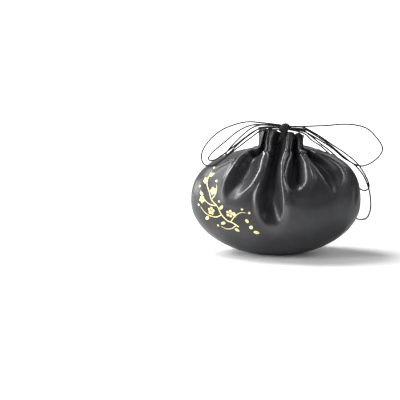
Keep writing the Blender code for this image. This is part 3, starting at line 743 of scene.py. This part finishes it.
def panel_mesh(name, side, folds, creases, counts):
    """A leather panel as a closed shell, with face attributes for its flesh side and its cut edges."""
    outer, inner, ridge = panel_grids(side, folds, creases, counts)
    outer_ids, outer_flat = grid_ids(outer, 0)
    inner_ids, inner_flat = grid_ids(inner, len(outer_flat))
    inner_core = [row[1:-1] for row in inner_ids]
    groups = [(grid_faces(outer_ids), 0.0, 0.0), (grid_faces(inner_ids), 1.0, 0.0)]
    top = rim_faces(outer_ids[0][1:-1], inner_core[0])
    corners = [
        (outer_ids[0][0], outer_ids[0][1], inner_ids[0][1], inner_ids[0][0]),
        (outer_ids[0][-2], outer_ids[0][-1], inner_ids[0][-1], inner_ids[0][-2]),
    ]
    groups.append((top + corners, 0.0, 1.0))
    for j in (0, -1):
        groups.append((rim_faces([row[j] for row in outer_ids], [row[j] for row in inner_ids]), 0.0, 1.0))
    faces = [f for group, _, _ in groups for f in group]
    flesh = [value for group, value, _ in groups for _ in group]
    cut = [value for group, _, value in groups for _ in group]
    mesh = bpy.data.meshes.new(name)
    mesh.from_pydata(np.concatenate([outer_flat, inner_flat]), [], faces)
    mark(mesh, "flesh", "FACE", flesh)
    mark(mesh, "cut", "FACE", cut)
    # Ridge values of the outer face: the leather's material paints a highlight along the fold edges with them, and
    # makes them glossier.
    worn = np.zeros(len(outer_flat) + len(inner_flat))
    worn[: ridge[:-1].size] = ridge[:-1].ravel()
    mark(mesh, "ridge", "POINT", worn)
    face_outwards(mesh)
    mesh.shade_smooth()
    mesh.set_sharp_from_angle(angle=SHARP_ANGLE)
    return mesh


def lacing_ring(start, end, count):
    """Points round the neck inside its pleats, by angle from the middle of the front, leftwards."""
    turn = np.linspace(start, end, count)
    x = NECK_SHIFT - (NECK_HALF_WIDTH - LACING_INSET) * np.sin(turn)
    y = -(NECK_HALF_DEPTH - LACING_INSET) * np.cos(turn)
    height = WIDEST_HEIGHT + SHOULDER_RISE + PUNCH_HEIGHT
    return np.stack([x, y, np.full(count, height)], axis=1)


def lacing_points(strand):
    """One strand, 1 or -1, of the doubled drawcord: from the knot round the neck in its holes, and back."""
    ring = lacing_ring(LACING_START, LACING_END, RING_POINTS)
    foot = KNOT_MIDDLE - (0.0, 0.0, KNOT_HEIGHT / 2 + CORD / 2 + CORD_CLEARANCE)
    leads = [
        [hole + share * (foot + (side * STRAND_PITCH, 0.0, 0.0) - hole) for share in LEAD_SHARES]
        for side, hole in ((-1, ring[0]), (1, ring[-1]))
    ]
    middle = smooth_route(np.vstack([leads[0][::-1], ring, leads[1]]), CORD_STEP)
    along = unit(np.gradient(middle, axis=0))
    out = (middle - (NECK_SHIFT, 0.0, 0.0)) * (1.0, 1.0, 0.0)
    return middle + unit(np.cross(along, out)) * strand * STRAND_PITCH / 2


def punched(panel):
    """Cuts the oval holes that the doubled cord runs through."""
    ring = lacing_ring(LACING_START, LACING_END, PUNCH_POINTS)
    radius = (CORD / 2 + CORD_CLEARANCE) / math.cos(math.pi / PUNCH_SIDES)
    tall = radius + STRAND_PITCH / 2
    out = np.cross(unit(np.gradient(ring, axis=0)), (0.0, 0.0, 1.0))
    turn = 2 * math.pi * np.arange(PUNCH_SIDES) / PUNCH_SIDES
    points = []
    for place, sideways in zip(ring, out, strict=True):
        points.append(place + np.outer(radius * np.cos(turn), sideways) + np.outer(tall * np.sin(turn), (0, 0, 1)))
    faces = [list(range(PUNCH_SIDES)), [(PUNCH_POINTS - 1) * PUNCH_SIDES + k for k in range(PUNCH_SIDES)]]
    for i in range(PUNCH_POINTS - 1):
        for k in range(PUNCH_SIDES):
            a, b = i * PUNCH_SIDES + k, i * PUNCH_SIDES + (k + 1) % PUNCH_SIDES
            faces.append([a, b, b + PUNCH_SIDES, a + PUNCH_SIDES])
    mesh = bpy.data.meshes.new("punch")
    mesh.from_pydata(np.concatenate(points), [], faces)
    mark(mesh, "flesh", "FACE", [0.0] * len(faces))
    mark(mesh, "cut", "FACE", [1.0] * len(faces))
    face_outwards(mesh)
    cutter = in_scene("punch", mesh)
    cut = panel.modifiers.new("holes", "BOOLEAN")
    cut.operation = "DIFFERENCE"
    cut.solver = "FAST"
    cut.object = cutter
    finished_mesh(panel)
    bpy.data.objects.remove(cutter)
    bpy.data.meshes.remove(mesh)


def finished_mesh(piece):
    """Replaces a piece's mesh by its evaluated one and drops its modifiers."""
    bpy.context.view_layer.update()
    evaluated = piece.evaluated_get(bpy.context.evaluated_depsgraph_get())
    mesh = bpy.data.meshes.new_from_object(evaluated)
    piece.modifiers.clear()
    old = piece.data
    piece.data = mesh
    bpy.data.meshes.remove(old)


def in_scene(name, data):
    thing = bpy.data.objects.new(name, data)
    bpy.context.scene.collection.objects.link(thing)
    return thing


def new_piece(name, mesh, material):
    piece = in_scene(name, mesh)
    mesh.materials.append(material)
    return piece


class NodeBench:
    """Adds and joins shader nodes with few words."""

    def __init__(self, name):
        self.material = bpy.data.materials.new(name)
        self.material.use_nodes = True
        self.tree = self.material.node_tree
        self.shader = self.tree.nodes["Principled BSDF"]
        self.coords = self.add("ShaderNodeTexCoord").outputs["Object"]

    def add(self, kind, inputs=None, **values):
        node = self.tree.nodes.new(kind)
        for key, value in values.items():
            setattr(node, key, value)
        for key, value in (inputs or {}).items():
            self.put(node.inputs[key], value)
        return node

    def put(self, socket, value):
        if isinstance(value, bpy.types.NodeSocket):
            self.tree.links.new(value, socket)
        else:
            socket.default_value = value

    def math(self, operation, *values):
        node = self.add("ShaderNodeMath", operation=operation)
        for socket, value in zip(node.inputs, values):
            self.put(socket, value)
        return node.outputs[0]

    def noise(self, vector, scale, detail):
        node = self.add("ShaderNodeTexNoise", {"Vector": vector, "Scale": scale, "Detail": detail})
        return node.outputs["Fac"]

    def attribute(self, name):
        return self.add("ShaderNodeAttribute", attribute_name=name).outputs["Fac"]

    def set(self, **values):
        """Gives the shader its inputs, with a space in a name written as an underscore."""
        for key, value in values.items():
            self.put(self.shader.inputs[key.replace("_", " ")], value)

    def bump(self, height, strength, distance):
        node = self.add("ShaderNodeBump", {"Height": height, "Strength": strength, "Distance": distance})
        self.set(Normal=node.outputs["Normal"])

    def mix(self, factor, a, b):
        node = self.add("ShaderNodeMix", data_type="RGBA")
        self.put(node.inputs["Factor"], factor)
        self.put(node.inputs[6], a)
        self.put(node.inputs[7], b)
        return node.outputs[2]

    def ramp(self, value, *stops):
        """A grey ramp through (place, brightness) stops."""
        node = self.add("ShaderNodeValToRGB", inputs={"Fac": value})
        elements = node.color_ramp.elements
        while len(elements) < len(stops):
            elements.new(0.5)
        for element, (place, grey) in zip(elements, stops):
            element.position = place
            element.color = (grey, grey, grey, 1.0)
        return node.outputs["Color"]


def toned(shade, factor, lift=0.0):
    return tuple(min(1.0, c * factor + lift) for c in shade[:3]) + (1.0,)


def leather_material():
    """Smooth black leather with a fine grain, its fleshy inner side, its painted cut edges and a painted highlight
    along its fold ridges.
    """
    s = settings()
    bench = NodeBench("black_leather")
    grain_scale = 1 / s.grain_size
    grain = {"Vector": bench.coords, "Scale": grain_scale, "Smoothness": 0.4}
    pebbles = bench.add("ShaderNodeTexVoronoi", feature="SMOOTH_F1")
    for key, value in grain.items():
        bench.put(pebbles.inputs[key], value)
    fine = bench.noise(bench.coords, grain_scale * 0.6, 3.0)
    broad = bench.noise(bench.coords, 55.0, 3.0)
    patches = bench.noise(bench.coords, 320.0, 2.0)
    flesh, cut, ridge = [bench.attribute(name) for name in ("flesh", "cut", "ridge")]

    deep, pale = toned(s.leather_colour, 0.72), toned(s.leather_colour, 1.35)
    outside = bench.mix(bench.ramp(broad, (0.3, 0.0), (0.7, 1.0)), deep, pale)
    # Painted highlight: the grain side's colour is lightened towards grey along the fold ridges, where the light
    # catches them; the ridges also get lower roughness, more specular and a coat.
    outside = bench.mix(bench.math("MULTIPLY", ridge, 0.35), outside, (0.065, 0.065, 0.070, 1.0))
    nap = bench.mix(patches, (0.030, 0.028, 0.028, 1.0), (0.060, 0.056, 0.054, 1.0))
    sides = bench.mix(flesh, outside, nap)

    wear = bench.math("MULTIPLY_ADD", broad, 0.16, s.leather_roughness - 0.08)
    spots = bench.math("MULTIPLY_ADD", patches, 0.08, wear)
    burnished = bench.math("MULTIPLY_ADD", ridge, -0.08, spots)
    bench.set(
        Base_Color=bench.mix(cut, sides, (0.012, 0.011, 0.011, 1.0)),
        Roughness=bench.math("MULTIPLY_ADD", flesh, 0.45, burnished),
        Specular_IOR_Level=bench.math("MULTIPLY_ADD", ridge, 0.5, 0.45),
        Coat_Weight=bench.math("MULTIPLY", ridge, 0.5),
        Coat_Roughness=0.25,
    )
    bench.bump(bench.math("MULTIPLY_ADD", fine, 0.5, pebbles.outputs["Distance"]), 0.35, 0.00008)
    return bench.material


def cord_material():
    """Black waxed cord with painted shade between its plies, and a satin sheen along them."""
    s = settings()
    bench = NodeBench("black_cord")
    along = bench.add("ShaderNodeUVMap", uv_map="cord").outputs["UV"]
    stretched = bench.add("ShaderNodeMapping", {"Vector": along, "Scale": (500.0, 9.0, 1.0)}).outputs["Vector"]
    fibres = bench.noise(stretched, 1.0, 3.0)
    dust = bench.ramp(bench.noise(bench.coords, 240.0, 2.0), (0.45, 0.0), (0.75, 1.0))
    worn = bench.mix(dust, s.cord_colour, toned(s.cord_colour, 2.2))
    bench.set(
        # Painted shade: the cord's colour goes nearly black in the valleys between its plies.
        Base_Color=bench.mix(bench.attribute("valley"), worn, (0.006, 0.006, 0.006, 1.0)),
        Roughness=bench.math("MULTIPLY_ADD", fibres, 0.3, 0.50),
        Specular_IOR_Level=0.25,
    )
    bench.bump(fibres, 0.4, 0.00005)
    return bench.material


def foil_material():
    """Pale gold foil pressed into leather, with small worn flecks."""
    s = settings()
    bench = NodeBench("gold_foil")
    flecks = bench.noise(bench.coords, 1500.0, 3.0)
    tone = bench.ramp(bench.noise(bench.coords, 190.0, 2.0), (0.35, 0.0), (0.65, 1.0))
    gold = bench.mix(tone, s.foil_colour, toned(s.foil_colour, 1.22, 0.04))
    bench.set(
        Base_Color=bench.mix(bench.ramp(flecks, (0.66, 0.0), (0.72, 1.0)), gold, (0.10, 0.08, 0.05, 1.0)),
        Metallic=0.35,
        Roughness=bench.math("MULTIPLY_ADD", flecks, 0.3, 0.28),
    )
    bench.bump(flecks, 0.3, 0.00005)
    return bench.material


def thread_material():
    """Black polyester sewing thread."""
    bench = NodeBench("black_thread")
    twist = bench.noise(bench.coords, 4200.0, 1.0)
    bench.set(Base_Color=bench.mix(twist, (0.008, 0.008, 0.009, 1.0), (0.05, 0.05, 0.055, 1.0)), Roughness=0.55)
    return bench.material


def floor_material():
    """Pale studio floor that reads white to the camera and still takes the pouch's shadow."""
    bench = NodeBench("pale_floor")
    shade = settings().floor_colour
    seen = bench.add("ShaderNodeLightPath").outputs["Is Camera Ray"]
    away = bench.add("ShaderNodeVectorMath", {0: bench.coords}, operation="LENGTH").outputs["Value"]
    far = bench.add("ShaderNodeMapRange", {"Value": away, "From Min": 0.22, "From Max": 0.7}).outputs["Result"]
    bench.set(
        Base_Color=bench.mix(bench.noise(bench.coords, 3.0, 2.0), shade, toned(shade, 1.02)),
        Roughness=0.75,
        Emission_Color=(1.0, 1.0, 1.0, 1.0),
        Emission_Strength=bench.math("MULTIPLY", seen, bench.math("ADD", far, 0.03)),
    )
    return bench.material


def twisted_cord(name, line, closed, material):
    """A cord of twisted plies along a line of points, with a UV map along it and its valleys marked for painted
    shade.
    """
    s = settings()
    if closed:
        along = unit(np.roll(line, -1, axis=0) - np.roll(line, 1, axis=0))
    else:
        along = unit(np.gradient(line, axis=0))
    across = np.zeros_like(line)
    across[0] = unit(np.cross(along[0], (0.13, 0.91, 0.37)))
    for i in range(1, len(line)):
        across[i] = unit(across[i - 1] - along[i] * np.dot(across[i - 1], along[i]))
    steps = np.linalg.norm(np.diff(line, axis=0), axis=1)
    run = np.concatenate([[0], np.cumsum(steps)])
    drift = 0.0
    length = run[-1] + (np.linalg.norm(line[0] - line[-1]) if closed else 0.0)
    lay = s.cord_lay
    if closed:
        back = unit(across[-1] - along[0] * np.dot(across[-1], along[0]))
        third = np.cross(along[0], across[0])
        drift = math.atan2(np.dot(back, third), np.dot(back, across[0]))
        lay = length / round(length / s.cord_lay)
    other = np.cross(along, across)
    turn = 2 * math.pi * np.arange(CORD_SIDES) / CORD_SIDES
    phase = turn[None] - (drift * run / length)[:, None]
    ply = np.abs(np.cos(s.cord_plies / 2 * (turn[None] + (2 * math.pi * run / lay)[:, None])))
    radius = CORD_DRESSED / 2 * (1 - PLY_RELIEF + PLY_RELIEF * ply)
    ring = np.cos(phase)[..., None] * across[:, None] + np.sin(phase)[..., None] * other[:, None]
    points = line[:, None] + ring * radius[..., None]
    rows = len(line)
    ids = np.arange(rows * CORD_SIDES).reshape(rows, CORD_SIDES)
    faces, uvs = [], []
    last = rows if closed else rows - 1
    for i in range(last):
        after = (i + 1) % rows
        for k in range(CORD_SIDES):
            side = (k + 1) % CORD_SIDES
            faces.append((ids[i, k], ids[i, side], ids[after, side], ids[after, k]))
            end = run[after] if after else length
            low, high = k / CORD_SIDES, (k + 1) / CORD_SIDES
            uvs += [(run[i], low), (run[i], high), (end, high), (end, low)]
    if not closed:
        faces += [tuple(ids[0][::-1]), tuple(ids[-1])]
        uvs += [(0.0, 0.0)] * (2 * CORD_SIDES)
    mesh = bpy.data.meshes.new(name)
    mesh.from_pydata(points.reshape(-1, 3), [], faces)
    mesh.uv_layers.new(name="cord").data.foreach_set("uv", np.array(uvs).ravel())
    # Valleys between the plies, for the painted shade in the cord's colour.
    mark(mesh, "valley", "POINT", (1 - ply.ravel()) ** 3)
    face_outwards(mesh)
    mesh.shade_smooth()
    return new_piece(name, mesh, material)


def knot_points():
    """The knot's cord, wound in turns to one end and back over them, closed on itself."""
    t = np.linspace(0, 2 * math.pi, KNOT_POINTS, endpoint=False)
    sweep = np.arcsin(KNOT_SWEEP * np.sin(t)) / math.asin(KNOT_SWEEP)
    turn = KNOT_TURNS * t
    outer = (KNOT_HEIGHT - CORD_DRESSED) / 2 * (1 - KNOT_TAPER * sweep**2)
    loose = 1 + 0.22 * np.sin(5 * t + 0.7) + 0.16 * np.sin(11 * t + 2.1)
    radius = outer - CORD_DRESSED * (0.5 - 0.5 * np.cos(t)) * loose
    tilt = 0.16 * np.sin(turn + 1.3) + 0.07 * np.sin(2 * turn + 0.4 + 3 * t)
    long = (KNOT_WIDTH - CORD_DRESSED) / 2 * (0.80 * sweep + tilt)
    return KNOT_MIDDLE + np.stack([long, radius * np.sin(turn), radius * np.cos(turn)], axis=1)


def loop_points(name):
    """A bow loop's points, from the knot's end out along its route and back."""
    side = math.copysign(1, LOOP_ROUTES[name][0][0])
    start = side * KNOT_WIDTH * LOOP_START
    leave, arrive = [KNOT_MIDDLE + (start, back * STRAND_PITCH, up * STRAND_PITCH) for back, up in LOOP_ENDS[name]]
    route = KNOT_MIDDLE + np.array(LOOP_ROUTES[name]) / 1000
    return smooth_route(np.vstack([leave, route, arrive]), CORD_STEP)


def place_on_front(tree, place):
    """Where a place of the sprig lies on the leather, with the leather's normal there."""
    up = Vector((0.0, math.sin(SPRIG_TILT), math.cos(SPRIG_TILT)))
    ahead = Vector((0.0, math.cos(SPRIG_TILT), -math.sin(SPRIG_TILT)))
    middle = Vector((place[0] / 1000, 0.0, WIDEST_HEIGHT)) + up * (place[1] / 1000)
    hit, normal, _, _ = tree.ray_cast(middle - ahead * BODY_HALF_WIDTH * 2, ahead)
    return hit, normal


def laid_down(tree, start, normal, rise):
    """A point above the leather, pressed down onto it along a normal and raised again by the foil's rise."""
    hit = tree.ray_cast(start + normal * LAY_HEIGHT, -normal, 2 * LAY_HEIGHT)[0]
    return (hit if hit else start) + normal * rise


def add_sheet(sheet, rows, normal):
    """Adds a grid of points to the foil's points and faces, wound so that it faces away from the leather."""
    points, faces = sheet
    first, columns = len(points), len(rows[0])
    for row in rows:
        points += row
    middle, wide = len(rows) // 2, columns // 2
    across = rows[middle][wide] - rows[middle][wide - 1]
    along = rows[middle][wide - 1] - rows[middle - 1][wide - 1]
    flip = along.cross(across).dot(normal) < 0
    for i in range(len(rows) - 1):
        for j in range(columns - 1):
            a = first + i * columns + j
            corners = (a, a + columns, a + columns + 1, a + 1)
            faces.append(corners[::-1] if flip else corners)


def foil_leaf(sheet, tree, base, normal, along, long, half_width, fullness, vein):
    """A leaf or petal from its base outwards: fullness moves its widest place towards the tip."""
    rise = settings().foil_rise
    across = normal.cross(along).normalized()
    along = across.cross(normal)
    rows = []
    for step in range(LEAF_ROWS + 1):
        u = step / LEAF_ROWS
        half = half_width * math.sin(math.pi * u**fullness) ** 0.7
        row = []
        for v, height in LEAF_PROFILE:
            start = base + along * (long * u) + across * (max(half, TINY) * v)
            height = vein if height is None else height
            row.append(laid_down(tree, start, normal, rise * (height if 0 < step < LEAF_ROWS else SUNK)))
        rows.append(row)
    add_sheet(sheet, rows, normal)


def foil_branch(sheet, tree, branch):
    """A branch of the sprig, from its root to its tip."""
    rise = settings().foil_rise
    route = smooth_route([(x, z, 0.0) for x, z in branch.line], BRANCH_STEP * 1000)
    places = [place_on_front(tree, place) for place in route]
    rows = []
    for i, (hit, _) in enumerate(places):
        near = places[max(0, i - 3) : i + 4]
        normal = sum((n for _, n in near), Vector()).normalized()
        along = (near[-1][0] - near[0][0]).normalized()
        across = normal.cross(along).normalized()
        half = (branch.root + (branch.tip - branch.root) * i / (len(places) - 1)) / 2
        half *= 1 + 0.12 * noise.noise(Vector((i * 0.35, branch.root * 9000, 0.5)))
        inside = 0 < i < len(places) - 1
        row = []
        for v, height in BRANCH_PROFILE:
            row.append(laid_down(tree, hit + across * half * v, normal, rise * (height if inside else SUNK)))
        rows.append(row)
    add_sheet(sheet, rows, places[len(places) // 2][1])


def turned(tree, place, turn):
    """Base, normal and direction of a leaf that is turned by so many degrees from rightwards."""
    hit, normal = place_on_front(tree, place)
    right = Vector((1.0, 0.0, 0.0))
    right = (right - normal * right.dot(normal)).normalized()
    up = normal.cross(right)
    if up.z < 0:
        up = -up
    return hit, normal, right * math.cos(math.radians(turn)) + up * math.sin(math.radians(turn))


def foil_mesh(tree):
    """The whole sprig: branches, blossoms of five petals, buds and leaves."""
    sheet = ([], [])
    for branch in BRANCHES:
        foil_branch(sheet, tree, branch)
    for blossom in BLOSSOMS:
        r = blossom.radius
        for petal in range(PETALS):
            middle, normal, along = turned(tree, blossom.place, blossom.turn + 360 * petal / PETALS)
            foil_leaf(sheet, tree, middle + along * r * 0.24, normal, along, r * 0.80, r * 0.40, 1.35, 1.0)
            spread = turned(tree, blossom.place, blossom.turn + 360 * (petal + 0.5) / PETALS)[2]
            foil_leaf(sheet, tree, middle + spread * r * 0.02, normal, spread, r * 0.26, r * 0.07, 1.6, 1.0)
    for bud in BUDS:
        base, normal, along = turned(tree, bud.place, bud.turn)
        foil_leaf(sheet, tree, base, normal, along, bud.length, bud.half_width, 1.1, 1.0)
    for leaf in LEAVES:
        base, normal, along = turned(tree, leaf.place, leaf.turn)
        foil_leaf(sheet, tree, base, normal, along, leaf.length, leaf.half_width, 0.9, -0.2)
    mesh = bpy.data.meshes.new("foil_sprig")
    mesh.from_pydata(sheet[0], [], sheet[1])
    mesh.shade_smooth()
    return mesh


def seam_lines():
    """Edges that run down the bottoms of both seam grooves."""
    q = np.linspace(SEAM_START, SEAM_STOP, SEAM_POINTS)
    points, edges = [], []
    for angle in (0.0, math.pi):
        place = plain_body(q, np.full(SEAM_POINTS, angle), -1)
        inward = -body_normal(q, np.full(SEAM_POINTS, angle), -1)[0]
        inward[:, 1] = 0.0
        place[:, 1] = 0.0
        first = len(points)
        points += list(place + unit(inward) * (settings().seam_groove * smooth(q / 0.8))[:, None])
        edges += [(first + k, first + k + 1) for k in range(SEAM_POINTS - 1)]
    mesh = bpy.data.meshes.new("seam_lines")
    mesh.from_pydata(points, edges, [])
    return mesh


def stitch_tree(material):
    """Geometry Nodes tree that lays a thread bar across the seam at every pitch of the lines it is given."""
    tree = bpy.data.node_groups.new("seam_stitches", "GeometryNodeTree")
    new = tree.interface.new_socket
    new("Lines", in_out="INPUT", socket_type="NodeSocketGeometry")
    for name, value in (("Pitch", 0.0026), ("Thread", 0.00045), ("Reach", 0.0011)):
        new(name, in_out="INPUT", socket_type="NodeSocketFloat").default_value = value
    new("Seed", in_out="INPUT", socket_type="NodeSocketInt").default_value = 7
    new("Stitches", in_out="OUTPUT", socket_type="NodeSocketGeometry")

    def add(kind, **values):
        node = tree.nodes.new(kind)
        for key, value in values.items():
            setattr(node, key, value)
        return node

    given, result = add("NodeGroupInput"), add("NodeGroupOutput")
    curve = add("GeometryNodeMeshToCurve")
    spaced = add("GeometryNodeResampleCurve", mode="LENGTH")
    tangent = add("GeometryNodeInputTangent")
    facing = add("FunctionNodeAlignRotationToVector", axis="X", pivot_axis="Y")
    wobble = add("FunctionNodeRandomValue", data_type="FLOAT_VECTOR")
    wobble.inputs["Min"].default_value = (-0.10, -0.10, -0.14)
    wobble.inputs["Max"].default_value = (0.10, 0.10, 0.14)
    turned_by = add("FunctionNodeRotateRotation", rotation_space="LOCAL")
    bar = add("GeometryNodeMeshUVSphere")
    bar.inputs["Segments"].default_value = 12
    bar.inputs["Rings"].default_value = 8
    bar.inputs["Radius"].default_value = 0.5
    stretch = add("ShaderNodeCombineXYZ")
    shaped = add("GeometryNodeTransform")
    laid = add("GeometryNodeInstanceOnPoints")
    real = add("GeometryNodeRealizeInstances")
    soft = add("GeometryNodeSetShadeSmooth")
    finish = add("GeometryNodeSetMaterial")
    finish.inputs["Material"].default_value = material
    for output, socket in (
        (given.outputs["Lines"], curve.inputs["Mesh"]),
        (curve.outputs["Curve"], spaced.inputs["Curve"]),
        (given.outputs["Pitch"], spaced.inputs["Length"]),
        (tangent.outputs["Tangent"], facing.inputs["Vector"]),
        (given.outputs["Seed"], wobble.inputs["Seed"]),
        (facing.outputs["Rotation"], turned_by.inputs["Rotation"]),
        (wobble.outputs["Value"], turned_by.inputs["Rotate By"]),
        (given.outputs["Thread"], stretch.inputs["X"]),
        (given.outputs["Reach"], stretch.inputs["Y"]),
        (given.outputs["Thread"], stretch.inputs["Z"]),
        (bar.outputs["Mesh"], shaped.inputs["Geometry"]),
        (stretch.outputs["Vector"], shaped.inputs["Scale"]),
        (spaced.outputs["Curve"], laid.inputs["Points"]),
        (shaped.outputs["Geometry"], laid.inputs["Instance"]),
        (turned_by.outputs["Rotation"], laid.inputs["Rotation"]),
        (laid.outputs["Instances"], real.inputs["Geometry"]),
        (real.outputs["Geometry"], soft.inputs["Geometry"]),
        (soft.outputs["Geometry"], finish.inputs["Geometry"]),
        (finish.outputs["Geometry"], result.inputs["Stitches"]),
    ):
        tree.links.new(output, socket)
    return tree


class KINCHAKU_OT_leather(Operator):
    """Makes the two pleated leather panels with their punched holes."""

    bl_idname = "kinchaku.leather"
    bl_label = "Leather panels"

    def execute(self, context):
        material = leather_material()
        for name, side, folds, creases, counts in (
            ("front_leather", -1, FRONT_FOLDS, FRONT_CREASES, FRONT_COLUMNS),
            ("back_leather", 1, BACK_FOLDS, BACK_CREASES, BACK_COLUMNS),
        ):
            panel = new_piece(name, panel_mesh(name, side, folds, creases, counts), material)
            punched(panel)
            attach(panel, "root")
            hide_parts(name.replace("leather", "panel"))
        return {"FINISHED"}


class KINCHAKU_OT_foil(Operator):
    """Presses the foil sprig onto the front."""

    bl_idname = "kinchaku.foil"
    bl_label = "Foil sprig"

    def execute(self, context):
        front = bpy.data.objects["front_leather"].data
        tree = BVHTree.FromPolygons([v.co for v in front.vertices], [p.vertices for p in front.polygons])
        sprig = new_piece("foil_sprig", foil_mesh(tree), foil_material())
        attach(sprig, "root")
        return {"FINISHED"}


class KINCHAKU_OT_stitches(Operator):
    """Sews the two panels together down both seams."""

    bl_idname = "kinchaku.stitches"
    bl_label = "Seam stitches"

    def execute(self, context):
        s = settings()
        thread = thread_material()
        stitches = new_piece("seam_stitches", seam_lines(), thread)
        modifier = stitches.modifiers.new("stitches", "NODES")
        modifier.node_group = stitch_tree(thread)
        sizes = {"Pitch": s.stitch_pitch, "Thread": s.thread, "Reach": s.stitch_reach}
        for item in modifier.node_group.interface.items_tree:
            if item.name in sizes:
                modifier[item.identifier] = sizes[item.name]
        finished_mesh(stitches)
        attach(stitches, "root")
        return {"FINISHED"}


class KINCHAKU_OT_drawcord(Operator):
    """Makes the lacing, the knot and the loops of the bow from twisted waxed cord."""

    bl_idname = "kinchaku.drawcord"
    bl_label = "Drawcord and bow"

    def execute(self, context):
        material = cord_material()
        for name, strand in (("upper", 1), ("lower", -1)):
            lacing = twisted_cord("lacing_cord_" + name, lacing_points(strand), False, material)
            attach(lacing, "root")
            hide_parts("drawcord_lacing_" + name)
        knot = twisted_cord("knot_cord", knot_points(), True, material)
        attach(knot, "root")
        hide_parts("bow_knot")
        for name in LOOP_ROUTES:
            line = loop_points(name)
            loop = twisted_cord(name.replace("loop", "bow"), line, False, material)
            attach(loop, "root")
            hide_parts(name)
        return {"FINISHED"}


def aim(thing, place, target):
    thing.location = place
    thing.rotation_euler = (Vector(target) - Vector(place)).to_track_quat("-Z", "Y").to_euler()


def add_floor():
    mesh = bpy.data.meshes.new("floor")
    corners = [(x * FLOOR_REACH, y * FLOOR_REACH, 0) for x, y in ((-1, -1), (1, -1), (1, 1), (-1, 1))]
    mesh.from_pydata(corners, [], [(0, 1, 2, 3)])
    floor = new_piece("floor", mesh, floor_material())


def add_camera(scene):
    """The camera in front of the pouch, aimed so that the pouch lies where it does in the photograph."""
    s = settings()
    middle = Vector((0.0, 0.0, WIDEST_HEIGHT))
    back = Vector((0.0, -math.cos(s.camera_elevation), math.sin(s.camera_elevation)))
    place = middle + back * s.camera_distance
    right = Vector((1.0, 0.0, 0.0))
    up = right.cross(-back)
    left_by, up_by = [(pixel - PICTURE / 2) * PIXEL for pixel in MIDDLE_PIXEL]
    target = middle - right * left_by + up * up_by
    data = bpy.data.cameras.new("camera")
    data.sensor_width = SENSOR
    data.lens = SENSOR * (target - place).length / (PICTURE * PIXEL)
    camera = in_scene("camera", data)
    aim(camera, place, target)
    scene.camera = camera


def add_world(scene):
    """A weak white light from all round, which the camera sees as pure white."""
    world = bpy.data.worlds.new("studio")
    world.use_nodes = True
    nodes, links = world.node_tree.nodes, world.node_tree.links
    background = nodes["Background"]
    background.inputs["Color"].default_value = (1.0, 1.0, 1.0, 1.0)
    seen = nodes.new("ShaderNodeLightPath").outputs["Is Camera Ray"]
    strength = nodes.new("ShaderNodeMix")
    strength.inputs["A"].default_value = WORLD_LIGHT
    strength.inputs["B"].default_value = 1.0
    links.new(seen, strength.inputs["Factor"])
    links.new(strength.outputs["Result"], background.inputs["Strength"])
    scene.world = world


def add_softbox(name, place, target, width, height, power):
    light = bpy.data.lights.new(name, "AREA")
    light.shape = "RECTANGLE"
    light.size, light.size_y = width, height
    light.energy = power
    lamp = in_scene(name, light)
    aim(lamp, place, target)
    lamp.visible_camera = name != "back_card"


class KINCHAKU_OT_studio(Operator):
    """Makes the pale floor, the soft lights and the camera at the photograph's angle."""

    bl_idname = "kinchaku.studio"
    bl_label = "Studio"

    def execute(self, context):
        context.scene.view_settings.view_transform = "Standard"
        add_floor()
        add_camera(context.scene)
        add_world(context.scene)
        for softbox in SOFTBOXES:
            add_softbox(*softbox)
        return {"FINISHED"}


class KINCHAKU_PT_dressing(Panel):
    """Lists the pouch's pieces and sizes."""

    bl_idname = "KINCHAKU_PT_dressing"
    bl_label = "Kinchaku pouch"
    bl_space_type = "VIEW_3D"
    bl_region_type = "UI"
    bl_category = "Pouch"

    def draw(self, context):
        for operator in OPERATORS:
            self.layout.operator(operator.bl_idname)
        for name in PouchSettings.__annotations__:
            self.layout.prop(settings(), name)


OPERATORS = (
    KINCHAKU_OT_studio,
    KINCHAKU_OT_drawcord,
    KINCHAKU_OT_leather,
    KINCHAKU_OT_foil,
    KINCHAKU_OT_stitches,
)
CLASSES = (PouchSettings, *OPERATORS, KINCHAKU_PT_dressing)


def register():
    for item in CLASSES:
        bpy.utils.register_class(item)
    bpy.types.Scene.kinchaku = PointerProperty(type=PouchSettings)


def unregister():
    del bpy.types.Scene.kinchaku
    for item in reversed(CLASSES):
        bpy.utils.unregister_class(item)


def main():
    register()
    bpy.ops.kinchaku.studio()
    bpy.ops.kinchaku.drawcord()
    bpy.ops.kinchaku.leather()
    bpy.ops.kinchaku.foil()
    bpy.ops.kinchaku.stitches()


if __name__ == "__main__":
    main()
